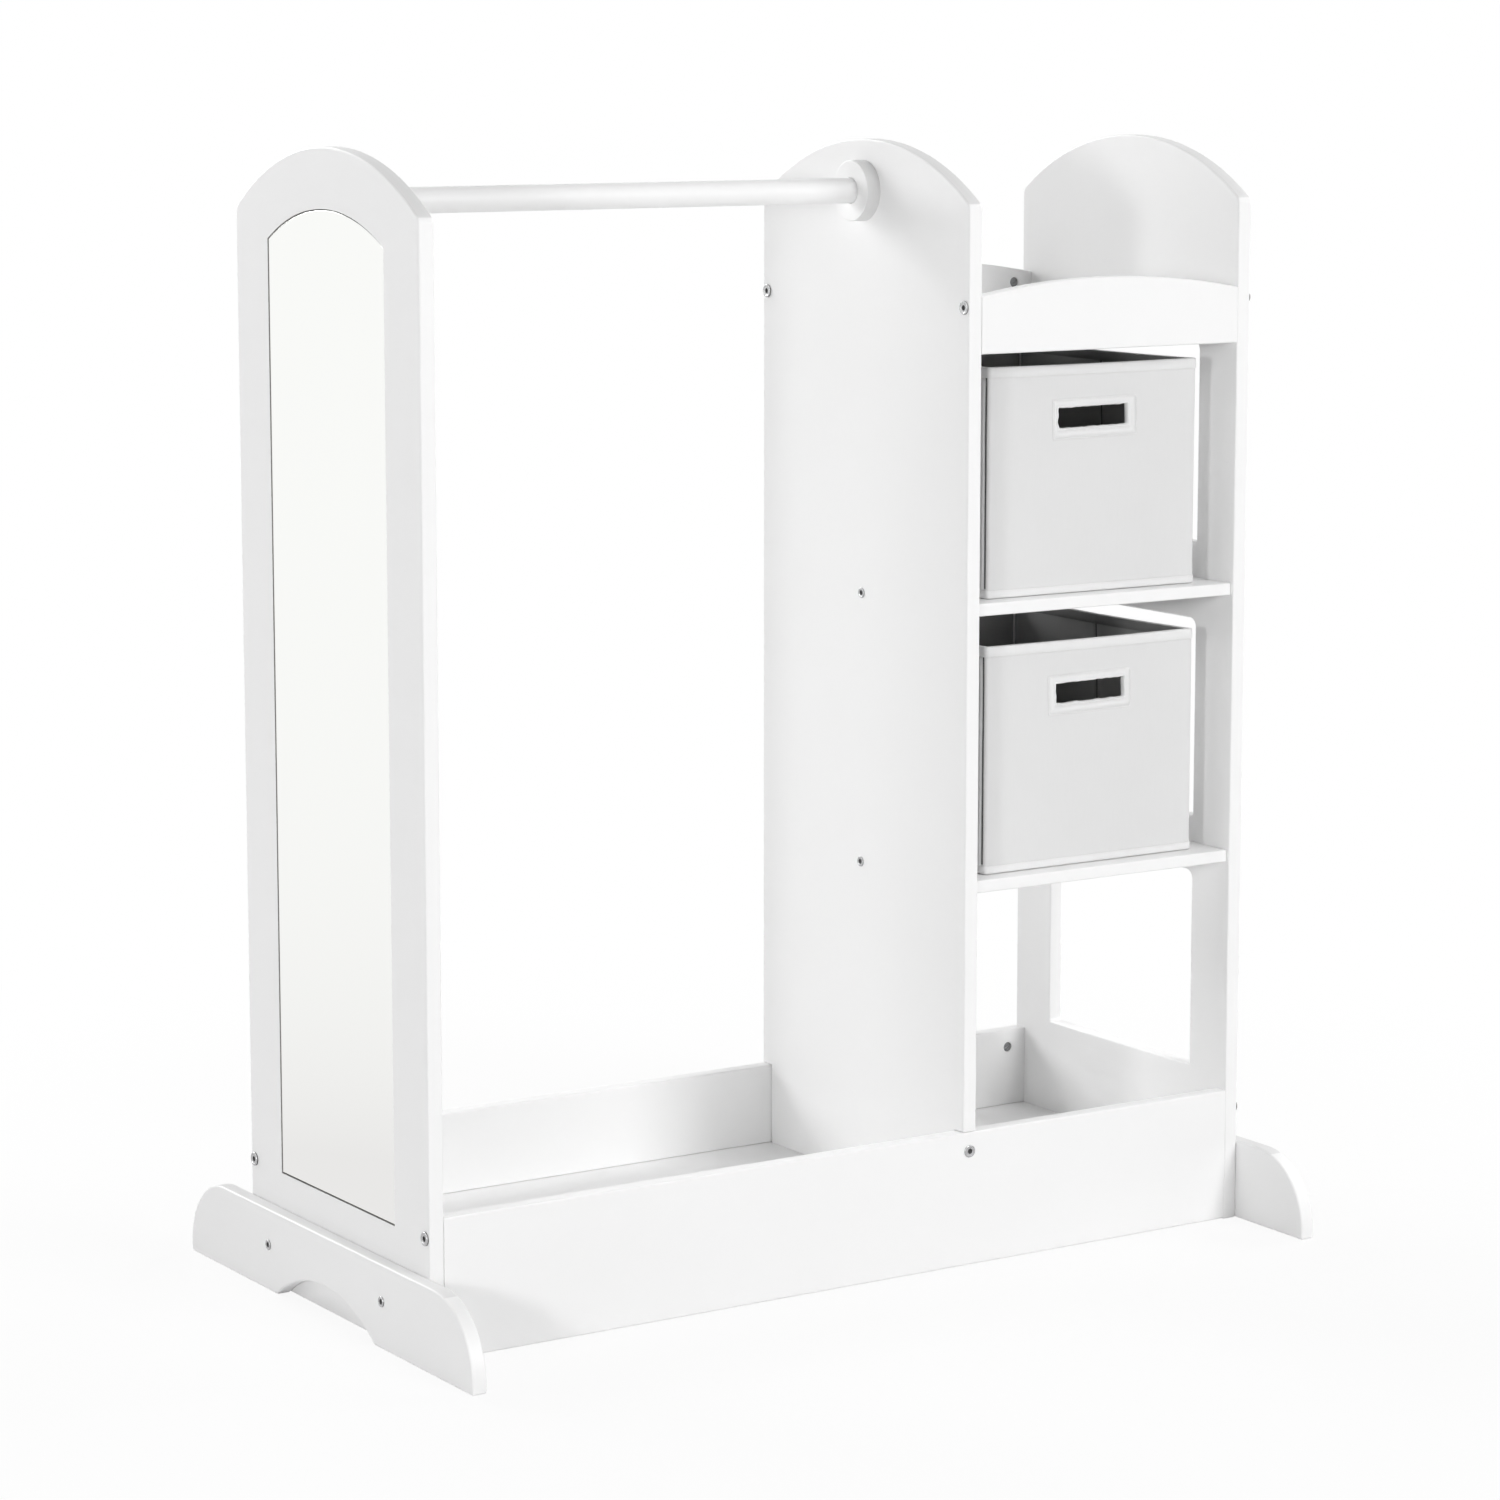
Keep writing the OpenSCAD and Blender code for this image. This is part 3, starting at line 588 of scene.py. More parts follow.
class Bench:
    """One piece in the making: its mesh, and the shaping steps that the pieces share."""

    def __init__(self) -> None:
        """Starts with an empty mesh."""
        self.mesh = bmesh.new()

    def outline(self, corners: Iterable[Vector]) -> BMFace:
        """Returns a flat face with those corners, in order round it."""
        return self.mesh.faces.new([self.mesh.verts.new(corner) for corner in corners])

    def upright(self, x: float, places: Iterable[tuple[float, float]]) -> BMFace:
        """Returns a flat face at right angles to X, with its corners at those Y and Z."""
        return self.outline(Vector((x, y, z)) for y, z in places)

    def block(self, low: Vector, high: Vector) -> list[BMVert]:
        """Adds a block between two opposite corners.

        Args:
            low: the corner with the lowest X, Y and Z.
            high: the opposite corner.

        Returns:
            Its vertices.
        """
        place = Matrix.Translation((low + high) / 2) @ Matrix.Diagonal((*(high - low), 1.0))
        return bmesh.ops.create_cube(self.mesh, size=1.0, matrix=place)["verts"]

    def round_corners(self, corners: Sequence[BMVert], radius: float, segments: int) -> None:
        """Rounds corners of a flat outline."""
        bmesh.ops.bevel(
            self.mesh,
            geom=list(corners),
            affect="VERTICES",
            offset=radius,
            segments=segments,
            profile=0.5,
            material=-1,
        )

    def arch(self, start: BMVert, end: BMVert, rise: float, cuts: int) -> None:
        """Lifts the edge between two corners onto a circle through them.

        Args:
            start: the corner where the edge starts.
            end: the corner where it ends, at the same height.
            rise: height of the arch's crown above the corners.
            cuts: how many points the arch gets between its ends.
        """
        first, chord = start.co.copy(), end.co - start.co
        edge = self.mesh.edges.get((start, end))
        made = bmesh.ops.subdivide_edges(self.mesh, edges=[edge], cuts=cuts)["geom_inner"]
        points = sorted((v for v in made if isinstance(v, BMVert)), key=lambda v: (v.co - first).dot(chord))
        half = chord.length / 2
        radius = (half * half + rise * rise) / (2 * rise)
        centre = first + chord / 2 - UP * (radius - rise)
        for step, point in enumerate(points, 1):
            angle = math.asin(half / radius) * (2 * step / (cuts + 1) - 1)
            point.co = centre + (chord.normalized() * math.sin(angle) + UP * math.cos(angle)) * radius

    def surround(self, outer: BMFace, inner: Sequence[BMFace]) -> list[BMFace]:
        """Fills a flat face again, around smaller faces that lie in it.

        Args:
            outer: the large face, which goes.
            inner: the faces that lie in it, which stay.

        Returns:
            The faces between them.
        """
        edges = [edge for face in (outer, *inner) for edge in face.edges]
        bmesh.ops.delete(self.mesh, geom=[outer], context="FACES_ONLY")
        made = bmesh.ops.triangle_fill(self.mesh, use_beauty=True, edges=edges)["geom"]
        return [face for face in made if isinstance(face, BMFace)]

    def push(self, faces: Sequence[BMFace], by: Vector) -> list[BMFace]:
        """Draws faces out into walls.

        Args:
            faces: the faces, which make a solid if they were a lone sheet.
            by: how far and which way they move.

        Returns:
            The moved faces.
        """
        made = bmesh.ops.extrude_face_region(self.mesh, geom=parts_of(faces))["geom"]
        bmesh.ops.translate(self.mesh, vec=by, verts=[v for v in made if isinstance(v, BMVert)])
        return [face for face in made if isinstance(face, BMFace)]

    def extend(self, loop: Sequence[BMEdge]) -> list[BMEdge]:
        """Adds a strip of faces, still without width, to a loop of edges, and returns its far loop."""
        made = bmesh.ops.extrude_edge_only(self.mesh, edges=list(loop))["geom"]
        verts = {part for part in made if isinstance(part, BMVert)}
        return [part for part in made if isinstance(part, BMEdge) and set(part.verts) <= verts]

    def disc(self, centre: Vector, along: Vector, radius: float, segments: int = 32) -> BMFace:
        """Returns a round face."""
        made = bmesh.ops.create_circle(
            self.mesh, cap_ends=True, radius=radius, segments=segments, matrix=facing(centre, along)
        )
        return made["verts"][0].link_faces[0]

    def drill(
        self, face: BMFace, centres: Iterable[Vector], along: Vector, radius: float, depth: float
    ) -> None:
        """Sinks blind round holes into a flat face.

        Args:
            face: the face.
            centres: the holes' middles, on the face.
            along: the way the holes go.
            radius: their radius.
            depth: their depth.
        """
        discs = [self.disc(centre, along, radius) for centre in centres]
        self.surround(face, discs)
        for disc in discs:
            self.push([disc], along * depth)

    def turn(self, origin: Vector, along: Vector, rings: Sequence[Ring], segments: int = 48) -> BMFace:
        """Makes a turned piece, ring by ring.

        Args:
            origin: the point on the axis from which the rings are measured.
            along: the way the axis runs.
            rings: the stages, first to last.
            segments: how many sides the circles have, a multiple of 6.

        Returns:
            The face that closes the last ring.
        """
        place = facing(origin, along)
        cap = self.disc(place @ Vector((0.0, 0.0, rings[0].at)), along, rings[0].radius, segments)
        for ring in rings[1:]:
            (cap,) = self.push([cap], Vector())
            for face in {face for edge in cap.edges for face in edge.link_faces}:
                face.material_index = ring.finish
            for vert in cap.verts:
                local = place.inverted() @ vert.co
                angle = math.atan2(local.y, local.x)
                radius = ring.radius
                if ring.hexagon:
                    radius /= math.cos((angle + math.tau) % (math.pi / 3) - math.pi / 6)
                vert.co = place @ Vector((radius * math.cos(angle), radius * math.sin(angle), ring.at))
        return cap

    def split(self, faces: Iterable[BMFace], at: Vector, normal: Vector) -> None:
        """Cuts faces along a plane, and keeps both sides."""
        bmesh.ops.bisect_plane(self.mesh, geom=parts_of(faces), dist=MERGE, plane_co=at, plane_no=normal)

    def settle(self) -> None:
        """Merges doubled points and turns all faces outwards."""
        bmesh.ops.remove_doubles(self.mesh, verts=self.mesh.verts[:], dist=MERGE)
        bmesh.ops.recalc_face_normals(self.mesh, faces=self.mesh.faces[:])

    def soften(self, share: Callable[[BMEdge], float]) -> None:
        """Says how much each corner edge is rounded.

        Args:
            share: gives an edge's share of the piece's full arris, or 0 for one that stays sharp.
        """
        self.settle()
        weights = self.mesh.edges.layers.float.new("bevel_weight_edge")
        for edge in self.mesh.edges:
            if edge.is_manifold and edge.calc_face_angle() > CORNER_ANGLE:
                edge[weights] = share(edge)
                edge.smooth = edge[weights] > 0


@dataclass(frozen=True)
class Dressing:
    """How a finished piece is dressed: its finishes, and how its corner edges are rounded."""

    finishes: Sequence[Finish]
    arris: float = 0.0
    segments: int = 3

    def apply(self, name: str, bench: Bench, body: Body, nodes: Sequence[str]) -> bpy.types.Object:
        """Turns the bench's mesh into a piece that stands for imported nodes.

        Args:
            name: the piece's name.
            bench: the bench that holds its mesh.
            body: the body that it moves with.
            nodes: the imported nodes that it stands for.

        Returns:
            The piece.
        """
        if not self.arris:
            bench.settle()
        data = bpy.data.meshes.new(name)
        bench.mesh.to_mesh(data)
        bench.mesh.free()
        data.shade_smooth()
        for finish in self.finishes:
            data.materials.append(finish.material())
        piece = bpy.data.objects.new(name, data)
        bpy.context.scene.collection.objects.link(piece)
        if self.arris:
            rounded = piece.modifiers.new("arris", "BEVEL")
            rounded.limit_method = "WEIGHT"
            rounded.width = self.arris
            rounded.segments = self.segments
            rounded.profile = 0.5
            rounded.use_clamp_overlap = False
            rounded.loop_slide = False
            level = piece.modifiers.new("flat_faces", "WEIGHTED_NORMAL")
            level.keep_sharp = True
        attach(piece, body.value)
        if nodes:
            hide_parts(*nodes)
        LOG.info("%s: %d faces, for %s", name, len(data.polygons), ", ".join(nodes) or "itself")
        return piece


def whole(edge: BMEdge) -> float:
    """Gives every edge its piece's full arris."""
    return 1.0


def on_plane(edge: BMEdge, axis: int, *places: float) -> bool:
    """Says whether an edge lies in a plane at right angles to an axis, at one of some places."""
    return any(all(abs(v.co[axis] - place) < NEAR for v in edge.verts) for place in places)


# ---------------------------------------------------------------- boards


@dataclass
class Boards:
    """The painted boards: panels, rails, floors, shelves, and the tray with its aprons."""

    dressing: Dressing = Dressing((PAINT,), arris=0.0018)
    panel_dressing: Dressing = Dressing((PAINT, SHADED_EDGE_PAINT, RECESS_SHADE_BOARD), arris=0.0018)
    joint: float = 0.2  # share of the arris on edges that butt against another board
    recess_share: float = 0.25
    shelf_share: float = 0.8
    groove_share: float = 0.12
    nut_share: float = 0.2
    panel_rise: float = 0.058
    panel_cuts: int = 47
    panel_shoulder: float = 0.0045
    shade_margin: float = 0.001  # the arch's painted shade starts this far above its ends
    recess_gap: float = 0.001
    recess_aside: float = 0.0005
    recess_depth: float = 0.0043
    notch_gap: float = 0.0006
    window_width: float = 0.233
    window_top_radius: float = 0.009
    window_foot_radius: float = 0.003
    low_sill: float = 0.095
    mid_sill: float = 0.026
    top_sill: float = 0.035
    low_head: float = 0.017
    mid_head: float = 0.029
    top_head: float = 0.002
    groove_depth: float = 0.006
    groove_gap: float = 0.0004
    apron_rise: float = 0.014
    apron_cuts: int = 31
    nut_from_end: float = 0.0215
    nut_radius: float = 0.00515
    nut_hole: float = 0.0142
    nut_clear_foot: float = 0.02
    nut_clear_top: float = 0.002

    def build(self, mirror: "Mirror") -> None:
        """Makes every board."""
        self.left_panel(mirror)
        self.middle_panel()
        self.right_panel()
        self.rail("front_rail", Way.LESS)
        self.rail("back_rail", Way.MORE)
        for node in ("bay_floor", "cubby_floor", "tray_board"):
            self.plain_board(node, grooved=True)
        for node in ("lower_shelf", "upper_shelf"):
            self.plain_board(node, grooved=False)
        self.apron("front_apron", Way.LESS)
        self.apron("back_apron", Way.MORE)

    def finish(self, node: str, bench: Bench) -> None:
        """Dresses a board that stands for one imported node."""
        self.dressing.apply(f"{node}_painted", bench, Body.CARCASS, [node])

    def finish_panel(self, node: str, bench: Bench, share: Callable[[BMEdge], float]) -> None:
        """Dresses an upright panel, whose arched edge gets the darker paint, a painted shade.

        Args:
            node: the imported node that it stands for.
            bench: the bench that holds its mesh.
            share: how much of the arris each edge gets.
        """
        bench.settle()
        side = Span.of(node).high.z - self.panel_rise
        # faces of the arched top get the darker paint, a painted shade
        for face in bench.mesh.faces:
            if abs(face.normal.x) < 0.1 and face.calc_center_median().z > side + self.shade_margin:
                face.material_index = 1
        bench.soften(share)
        self.panel_dressing.apply(f"{node}_painted", bench, Body.CARCASS, [node])

    def panel_outline(self, bench: Bench, span: Span, notch: Vector | None = None) -> BMFace:
        """Draws an upright panel's outline on its lower X face.

        Args:
            bench: the bench to draw on.
            span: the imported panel's box.
            notch: depth and height of the notches for the rails, as Y and Z, if it has them.

        Returns:
            The outline's face.
        """
        side = span.high.z - self.panel_rise
        places = [(span.high.y, side), (span.low.y, side)]
        for way in Way:
            edge = span.middle.y + way.value * span.size.y / 2
            foot = [(edge, span.low.z)]
            if notch:
                inside = edge - way.value * notch.y
                foot = [(edge, notch.z), (inside, notch.z), (inside, span.low.z)]
            places += foot if way is Way.LESS else foot[::-1]
        face = bench.upright(span.low.x, places)
        bench.arch(face.verts[0], face.verts[1], self.panel_rise, self.panel_cuts)
        shoulders = [vert for vert in face.verts if abs(vert.co.z - side) < MERGE]
        bench.round_corners(shoulders, self.panel_shoulder, 4)
        (face,) = bench.mesh.faces
        return face

    def left_panel(self, mirror: "Mirror") -> None:
        """Makes the left panel, with the recess for the mirror in its outer face."""
        bench, span = Bench(), Span.of("left_panel")
        outer = self.panel_outline(bench, span)
        bench.push([outer], RIGHT * span.size.x)
        glass = mirror.outline(bench, span.low.x, self.recess_gap)
        bmesh.ops.translate(bench.mesh, vec=BACK * self.recess_aside, verts=glass.verts[:])
        bench.surround(outer, [glass])
        # the recess's floor and walls get the grey board, a painted shadow in the gap round the glass
        (bottom,) = bench.push([glass], RIGHT * self.recess_depth)
        for face in {face for edge in bottom.edges for face in edge.link_faces}:
            face.material_index = 2
        floor, gap, plate = span.low.x + self.recess_depth + MERGE, 2 * self.recess_gap, mirror.span

        def share(edge: BMEdge) -> float:
            """Keeps the edges of the recess nearly sharp, and rounds the rest."""
            recess = all(
                v.co.x < floor
                and abs(v.co.y) < plate.high.y + gap
                and plate.low.z - gap < v.co.z < plate.high.z + gap
                for v in edge.verts
            )
            return self.recess_share if recess else 1.0

        self.finish_panel("left_panel", bench, share)

    def middle_panel(self) -> None:
        """Makes the middle panel, notched at both lower corners for the rails."""
        bench, span, rail = Bench(), Span.of("middle_panel"), Span.of("front_rail")
        notch = Vector((0.0, rail.size.y + self.notch_gap / 2, rail.high.z + self.notch_gap))
        face = self.panel_outline(bench, span, notch)
        bench.push([face], RIGHT * span.size.x)
        joints = (span.low.z, notch.z)
        self.finish_panel(
            "middle_panel", bench, lambda edge: self.joint if on_plane(edge, 2, *joints) else 1.0
        )

    def windows(self) -> list[tuple[float, float]]:
        """Returns the lowest and highest Z of each window in the right panel."""
        floor, low, high = (Span.of(node) for node in ("cubby_floor", "lower_shelf", "upper_shelf"))
        return [
            (floor.high.z + self.low_sill, low.low.z - self.low_head),
            (low.high.z + self.mid_sill, high.low.z - self.mid_head),
            (high.high.z + self.top_sill, Span.of("front_apron").low.z - self.top_head),
        ]

    def right_panel(self) -> None:
        """Makes the right panel, with its three windows."""
        bench, span = Bench(), Span.of("right_panel")
        outer = self.panel_outline(bench, span)
        half = self.window_width / 2
        for foot, head in self.windows():
            places = ((-half, foot), (half, foot), (half, head), (-half, head))
            corners = list(bench.upright(span.low.x, places).verts)
            bench.round_corners(corners[:2], self.window_foot_radius, 4)
            bench.round_corners(corners[2:], self.window_top_radius, 6)
        holes = [f for f in bench.mesh.faces if all(abs(v.co.y) < half + MERGE for v in f.verts)]
        sheet = bench.surround(outer, holes)
        bmesh.ops.delete(bench.mesh, geom=holes, context="FACES_ONLY")
        bench.push(sheet, RIGHT * span.size.x)
        self.finish_panel("right_panel", bench, whole)

    def plain_board(self, node: str, grooved: bool) -> None:
        """Makes a plain board.

        Args:
            node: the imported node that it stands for.
            grooved: whether its long edges run in grooves, and not its ends against panels.
        """
        bench, span = Bench(), Span.of(node)
        bench.block(span.low, span.high)
        ends = (span.low.x, span.high.x)
        bench.soften(lambda edge: self.joint if grooved or on_plane(edge, 0, *ends) else self.shelf_share)
        self.finish(node, bench)

    def grooved_section(self, bench: Bench, span: Span, way: Way, board: Span) -> BMFace:
        """Draws the section of a board with a groove in its inner face.

        Args:
            bench: the bench to draw on.
            span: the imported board's box.
            way: the side of the unit that the board is on.
            board: the box of the board that lies in the groove.

        Returns:
            The section, at the board's left end.
        """
        outside, inside = span.outside(way), span.inside(way)
        groove = inside + way.value * self.groove_depth
        foot, head = board.low.z, board.high.z + self.groove_gap
        section = ((outside, span.low.z), (outside, span.high.z), (inside, span.high.z), (inside, head),
                   (groove, head), (groove, foot), (inside, foot), (inside, span.low.z))
        return bench.upright(span.low.x, section)

    def rounding(self, span: Span, inside: float, board: Span) -> Callable[[BMEdge], float]:
        """Returns the share of the arris for each edge of a grooved board."""
        low, high = board.low.z - 2 * MERGE, board.high.z + 2 * self.groove_gap
        deep = abs(inside) + self.groove_depth

        def share(edge: BMEdge) -> float:
            """Keeps the groove and the ends sharp, and rounds the rest."""
            if on_plane(edge, 0, span.low.x, span.high.x):
                return self.joint
            if all(low < v.co.z < high and abs(v.co.y) <= deep for v in edge.verts):
                return self.groove_share
            if all(abs(v.co.y - inside) > NEAR for v in edge.verts) or on_plane(edge, 1, inside):
                return self.nut_share if all(self.near_nut(v.co, span) for v in edge.verts) else 1.0
            return 0.0

        return share

    def near_nut(self, point: Vector, span: Span) -> bool:
        """Says whether a point belongs to a barrel nut's hole, and not to the board's outline."""
        if not span.low.z + self.nut_clear_foot < point.z < span.high.z - self.nut_clear_top:
            return False
        inset = self.nut_from_end + self.nut_radius + MERGE
        return MERGE < min(point.x - span.low.x, span.high.x - point.x) <= inset

    def rail(self, node: str, way: Way) -> None:
        """Makes a long rail, with a groove for the floors and two holes for barrel nuts."""
        bench, span, board = Bench(), Span.of(node), Span.of("bay_floor")
        section = self.grooved_section(bench, span, way, board)
        bench.push([section], RIGHT * span.size.x)
        self.finish_grooved(node, bench, way, board, Span.of("rail_barrel_nuts").middle.z)

    def finish_grooved(self, node: str, bench: Bench, way: Way, board: Span, height: float) -> None:
        """Drills the holes for the barrel nuts into a grooved board's inner face, and dresses it.

        Args:
            node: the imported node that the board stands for.
            bench: the bench that holds its mesh.
            way: the side of the unit that it is on.
            board: the box of the board that lies in its groove.
            height: the height of its two holes.
        """
        span = Span.of(node)
        inside = span.inside(way)
        places = (span.low.x + self.nut_from_end, span.high.x - self.nut_from_end)
        centres = [Vector((x, inside, height)) for x in places]
        face = self.inner_face(bench, inside, board.high.z)
        bench.drill(face, centres, BACK * way.value, self.nut_radius, self.nut_hole)
        bench.soften(self.rounding(span, inside, board))
        self.finish(node, bench)

    def inner_face(self, bench: Bench, inside: float, above: float) -> BMFace:
        """Returns a board's inner face above a height, made whole."""
        faces = [
            f for f in bench.mesh.faces
            if f.calc_center_median().z > above and all(abs(v.co.y - inside) < NEAR for v in f.verts)
        ]
        if len(faces) > 1:
            return bmesh.ops.dissolve_faces(bench.mesh, faces=faces, use_verts=False)["region"][0]
        return faces[0]

    def apron(self, node: str, way: Way) -> None:
        """Makes an apron with an arched top, a groove for the tray, and holes for barrel nuts."""
        bench, span, board = Bench(), Span.of(node), Span.of("tray_board")
        section = self.grooved_section(bench, span, way, board)
        for vert in [v for v in section.verts if abs(v.co.z - span.high.z) < MERGE]:
            vert.co.z -= self.apron_rise
        width, steps, faces = span.size.x, self.apron_cuts + 1, [section]
        for _ in range(steps):
            faces = bench.push(faces, RIGHT * width / steps)
        radius = (width * width / 4 + self.apron_rise**2) / (2 * self.apron_rise)
        for vert in bench.mesh.verts:
            if vert.co.z > board.high.z + 2 * self.groove_gap:
                across = vert.co.x - span.middle.x
                vert.co.z += math.sqrt(radius * radius - across * across) - (radius - self.apron_rise)
        self.finish_grooved(node, bench, way, board, Span.of("apron_barrel_nuts").middle.z)


@dataclass
class Mirror:
    """The mirror: arched glass with a ground edge, stuck to the bottom of its recess with foam pads."""

    rise: float = 0.029
    cuts: int = 39
    ground_edge: float = 0.0006
    span: Span = field(default_factory=lambda: Span.of("mirror"))

    def outline(self, bench: Bench, x: float, gap: float) -> BMFace:
        """Draws the glass's outline, grown by a gap, in the plane at x."""
        half, spring = self.span.size.y / 2 + gap, self.span.high.z - self.rise
        foot = self.span.low.z - gap
        face = bench.upright(x, ((half, spring), (-half, spring), (-half, foot), (half, foot)))
        bench.arch(face.verts[0], face.verts[1], self.rise + gap, self.cuts)
        return face

    def build(self) -> None:
        """Makes the glass, and dresses the pads behind it."""
        bench = Bench()
        glass = self.outline(bench, self.span.low.x, 0.0)
        bench.push([glass], RIGHT * self.span.size.x)
        bench.settle()
        for face in bench.mesh.faces:
            face.material_index = 0 if face.normal.x < -0.9 else 1
        bench.soften(whole)
        dressing = Dressing((SILVER, GLASS_EDGE), self.ground_edge, 1)
        dressing.apply("mirror_plate", bench, Body.CARCASS, ["mirror"])
        dress_nodes(FOAM, "mirror_pads")


def dress_nodes(finish: Finish, *nodes: str) -> None:
    """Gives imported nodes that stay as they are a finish, through their objects' material slots."""
    for node in nodes:
        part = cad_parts[node]
        if not part.material_slots:
            part.data.materials.append(None)
        for slot in part.material_slots:
            slot.link = "OBJECT"
            slot.material = finish.material()
        LOG.info("%s: finished with %s", node, finish.name)


@dataclass
class HangingRod:
    """The rod across the bay, and the two turned flanges that hold its ends."""

    socket_radius: float = 0.0124
    socket_depth: float = 0.011
    socket_share: float = 0.35  # share of the flange's arris on the mouth of its socket
    wall_share: float = 0.15  # share of it on the edge against the panel
    segments: int = 72
    rod_dressing: Dressing = Dressing((PAINT,), arris=0.001)
    flange_dressing: Dressing = Dressing((PAINT, SHADED_EDGE_PAINT), arris=0.0009)

    def build(self) -> None:
        """Makes the rod and its flanges."""
        bench, span = Bench(), Span.of("hanging_rod")
        end = Vector((span.low.x, span.middle.y, span.middle.z))
        rings = [Ring(span.size.z / 2, at) for at in (0.0, span.size.x)]
        bench.turn(end, RIGHT, rings, self.segments)
        bench.soften(whole)
        self.rod_dressing.apply("hanging_rod_tube", bench, Body.CARCASS, ["hanging_rod"])
        self.flange("left_rod_flange", Way.MORE)
        self.flange("right_rod_flange", Way.LESS)
        dress_nodes(SCREW_STEEL, "flange_screws")

    def flange(self, node: str, way: Way) -> None:
        """Makes a flange whose socket looks along X, the way given."""
        bench, span = Bench(), Span.of(node)
        wall = span.low.x if way is Way.MORE else span.high.x
        radius, thick = span.size.z / 2, span.size.x
        rings = [Ring(radius, 0.0), Ring(radius, thick), Ring(self.socket_radius, thick),
                 Ring(self.socket_radius, thick - self.socket_depth)]
        bench.turn(Vector((wall, span.middle.y, span.middle.z)), RIGHT * way.value, rings, self.segments)
        bench.soften(lambda edge: self.arris_share(edge, span, wall, thick))
        # the flange's rim gets the darker paint, a painted shade
        for face in bench.mesh.faces:
            out = face.calc_center_median() - span.middle
            face.material_index = int(abs(face.normal.x) < 0.1 and out.yz.length > self.socket_radius * 1.5)
        self.flange_dressing.apply(f"{node}_turned", bench, Body.CARCASS, [node])

    def arris_share(self, edge: BMEdge, span: Span, wall: float, thick: float) -> float:
        """Returns how much a flange's edge is rounded: most on its outer rim, little in its socket."""
        point = edge.verts[0].co
        from_wall = abs(point.x - wall)
        if (point - span.middle).yz.length < self.socket_radius * 1.1:
            return self.socket_share if from_wall > thick * 0.9 else 0.0
        return self.wall_share if from_wall < MERGE else 1.0


@dataclass
class Feet:
    """The two long feet, round at both ends, with an arch cut out of their floor edge."""

    end_radius: float = 0.070
    end_segments: int = 22
    arch_width: float = 0.194
    arch_rise: float = 0.031
    arch_cuts: int = 31
    level_from: float = 0.95  # a face whose normal rises this much is level, and gets the darker paint, a painted shade
    dressing: Dressing = Dressing((PAINT, SHADED_EDGE_PAINT), arris=0.0022)

    def build(self) -> None:
        """Makes both feet."""
        for node in ("left_foot", "right_foot"):
            bench, span = Bench(), Span.of(node)
            half, arch = span.size.y / 2, self.arch_width / 2
            places = ((-half, span.low.z), (-arch, span.low.z), (arch, span.low.z), (half, span.low.z),
                      (half, span.high.z), (-half, span.high.z))
            face = bench.upright(span.low.x, places)
            bench.arch(face.verts[1], face.verts[2], self.arch_rise, self.arch_cuts)
            upper = [v for v in bench.mesh.verts if abs(v.co.z - span.high.z) < MERGE]
            bench.round_corners(upper, self.end_radius, self.end_segments)
            bench.push(bench.mesh.faces[:], RIGHT * span.size.x)
            bench.soften(whole)
            # the level tops of the feet get the darker paint, a painted shade
            for face in bench.mesh.faces:
                face.material_index = int(face.normal.z > self.level_from)
            self.dressing.apply(f"{node}_painted", bench, Body.CARCASS, [node])


# ---------------------------------------------------------------- hardware


# radius and height of a screw head's steps, from its underside to its dished floor, as shares of the head's
# the second step, the head's side wall, gets the dark steel, a painted shadow round the head
HEAD_STEPS = ((1.0, 0.0), (1.0, 0.55), (0.93, 1.0), (0.74, 1.0), (0.66, 0.72))


@dataclass(frozen=True)
class ScrewForm:
    """A screw or bolt with a dished flat head and a hexagon socket."""

    head_radius: float
    head_height: float
    shank_radius: float
    length: float
    hex_half: float = 0.0020
    hex_ease: float = 0.0001
    socket_floor: float = 0.0001  # the socket ends this far above the board's face
    tip: float = 0.0015

    def rings(self) -> list[Ring]:
        """Returns the stages from the tip of the shank to the bottom of the socket."""
        head = [
            Ring(radius * self.head_radius, height * self.head_height, finish=int(index == 1))
            for index, (radius, height) in enumerate(HEAD_STEPS)
        ]
        dish = head[-1].at
        return [
            Ring(self.shank_radius - self.tip / 2, -self.length),
            Ring(self.shank_radius, -self.length + self.tip),
            Ring(self.shank_radius, 0.0),
            *head,
            Ring(self.hex_half * 1.28, dish),
            # the socket gets the dark steel, a painted shade in its hollow
            Ring(self.hex_half, dish - self.hex_ease, True, 1),
            Ring(self.hex_half, self.socket_floor * 1.5, True, 1),
            Ring(self.hex_half * 0.25, self.socket_floor, finish=1),
        ]


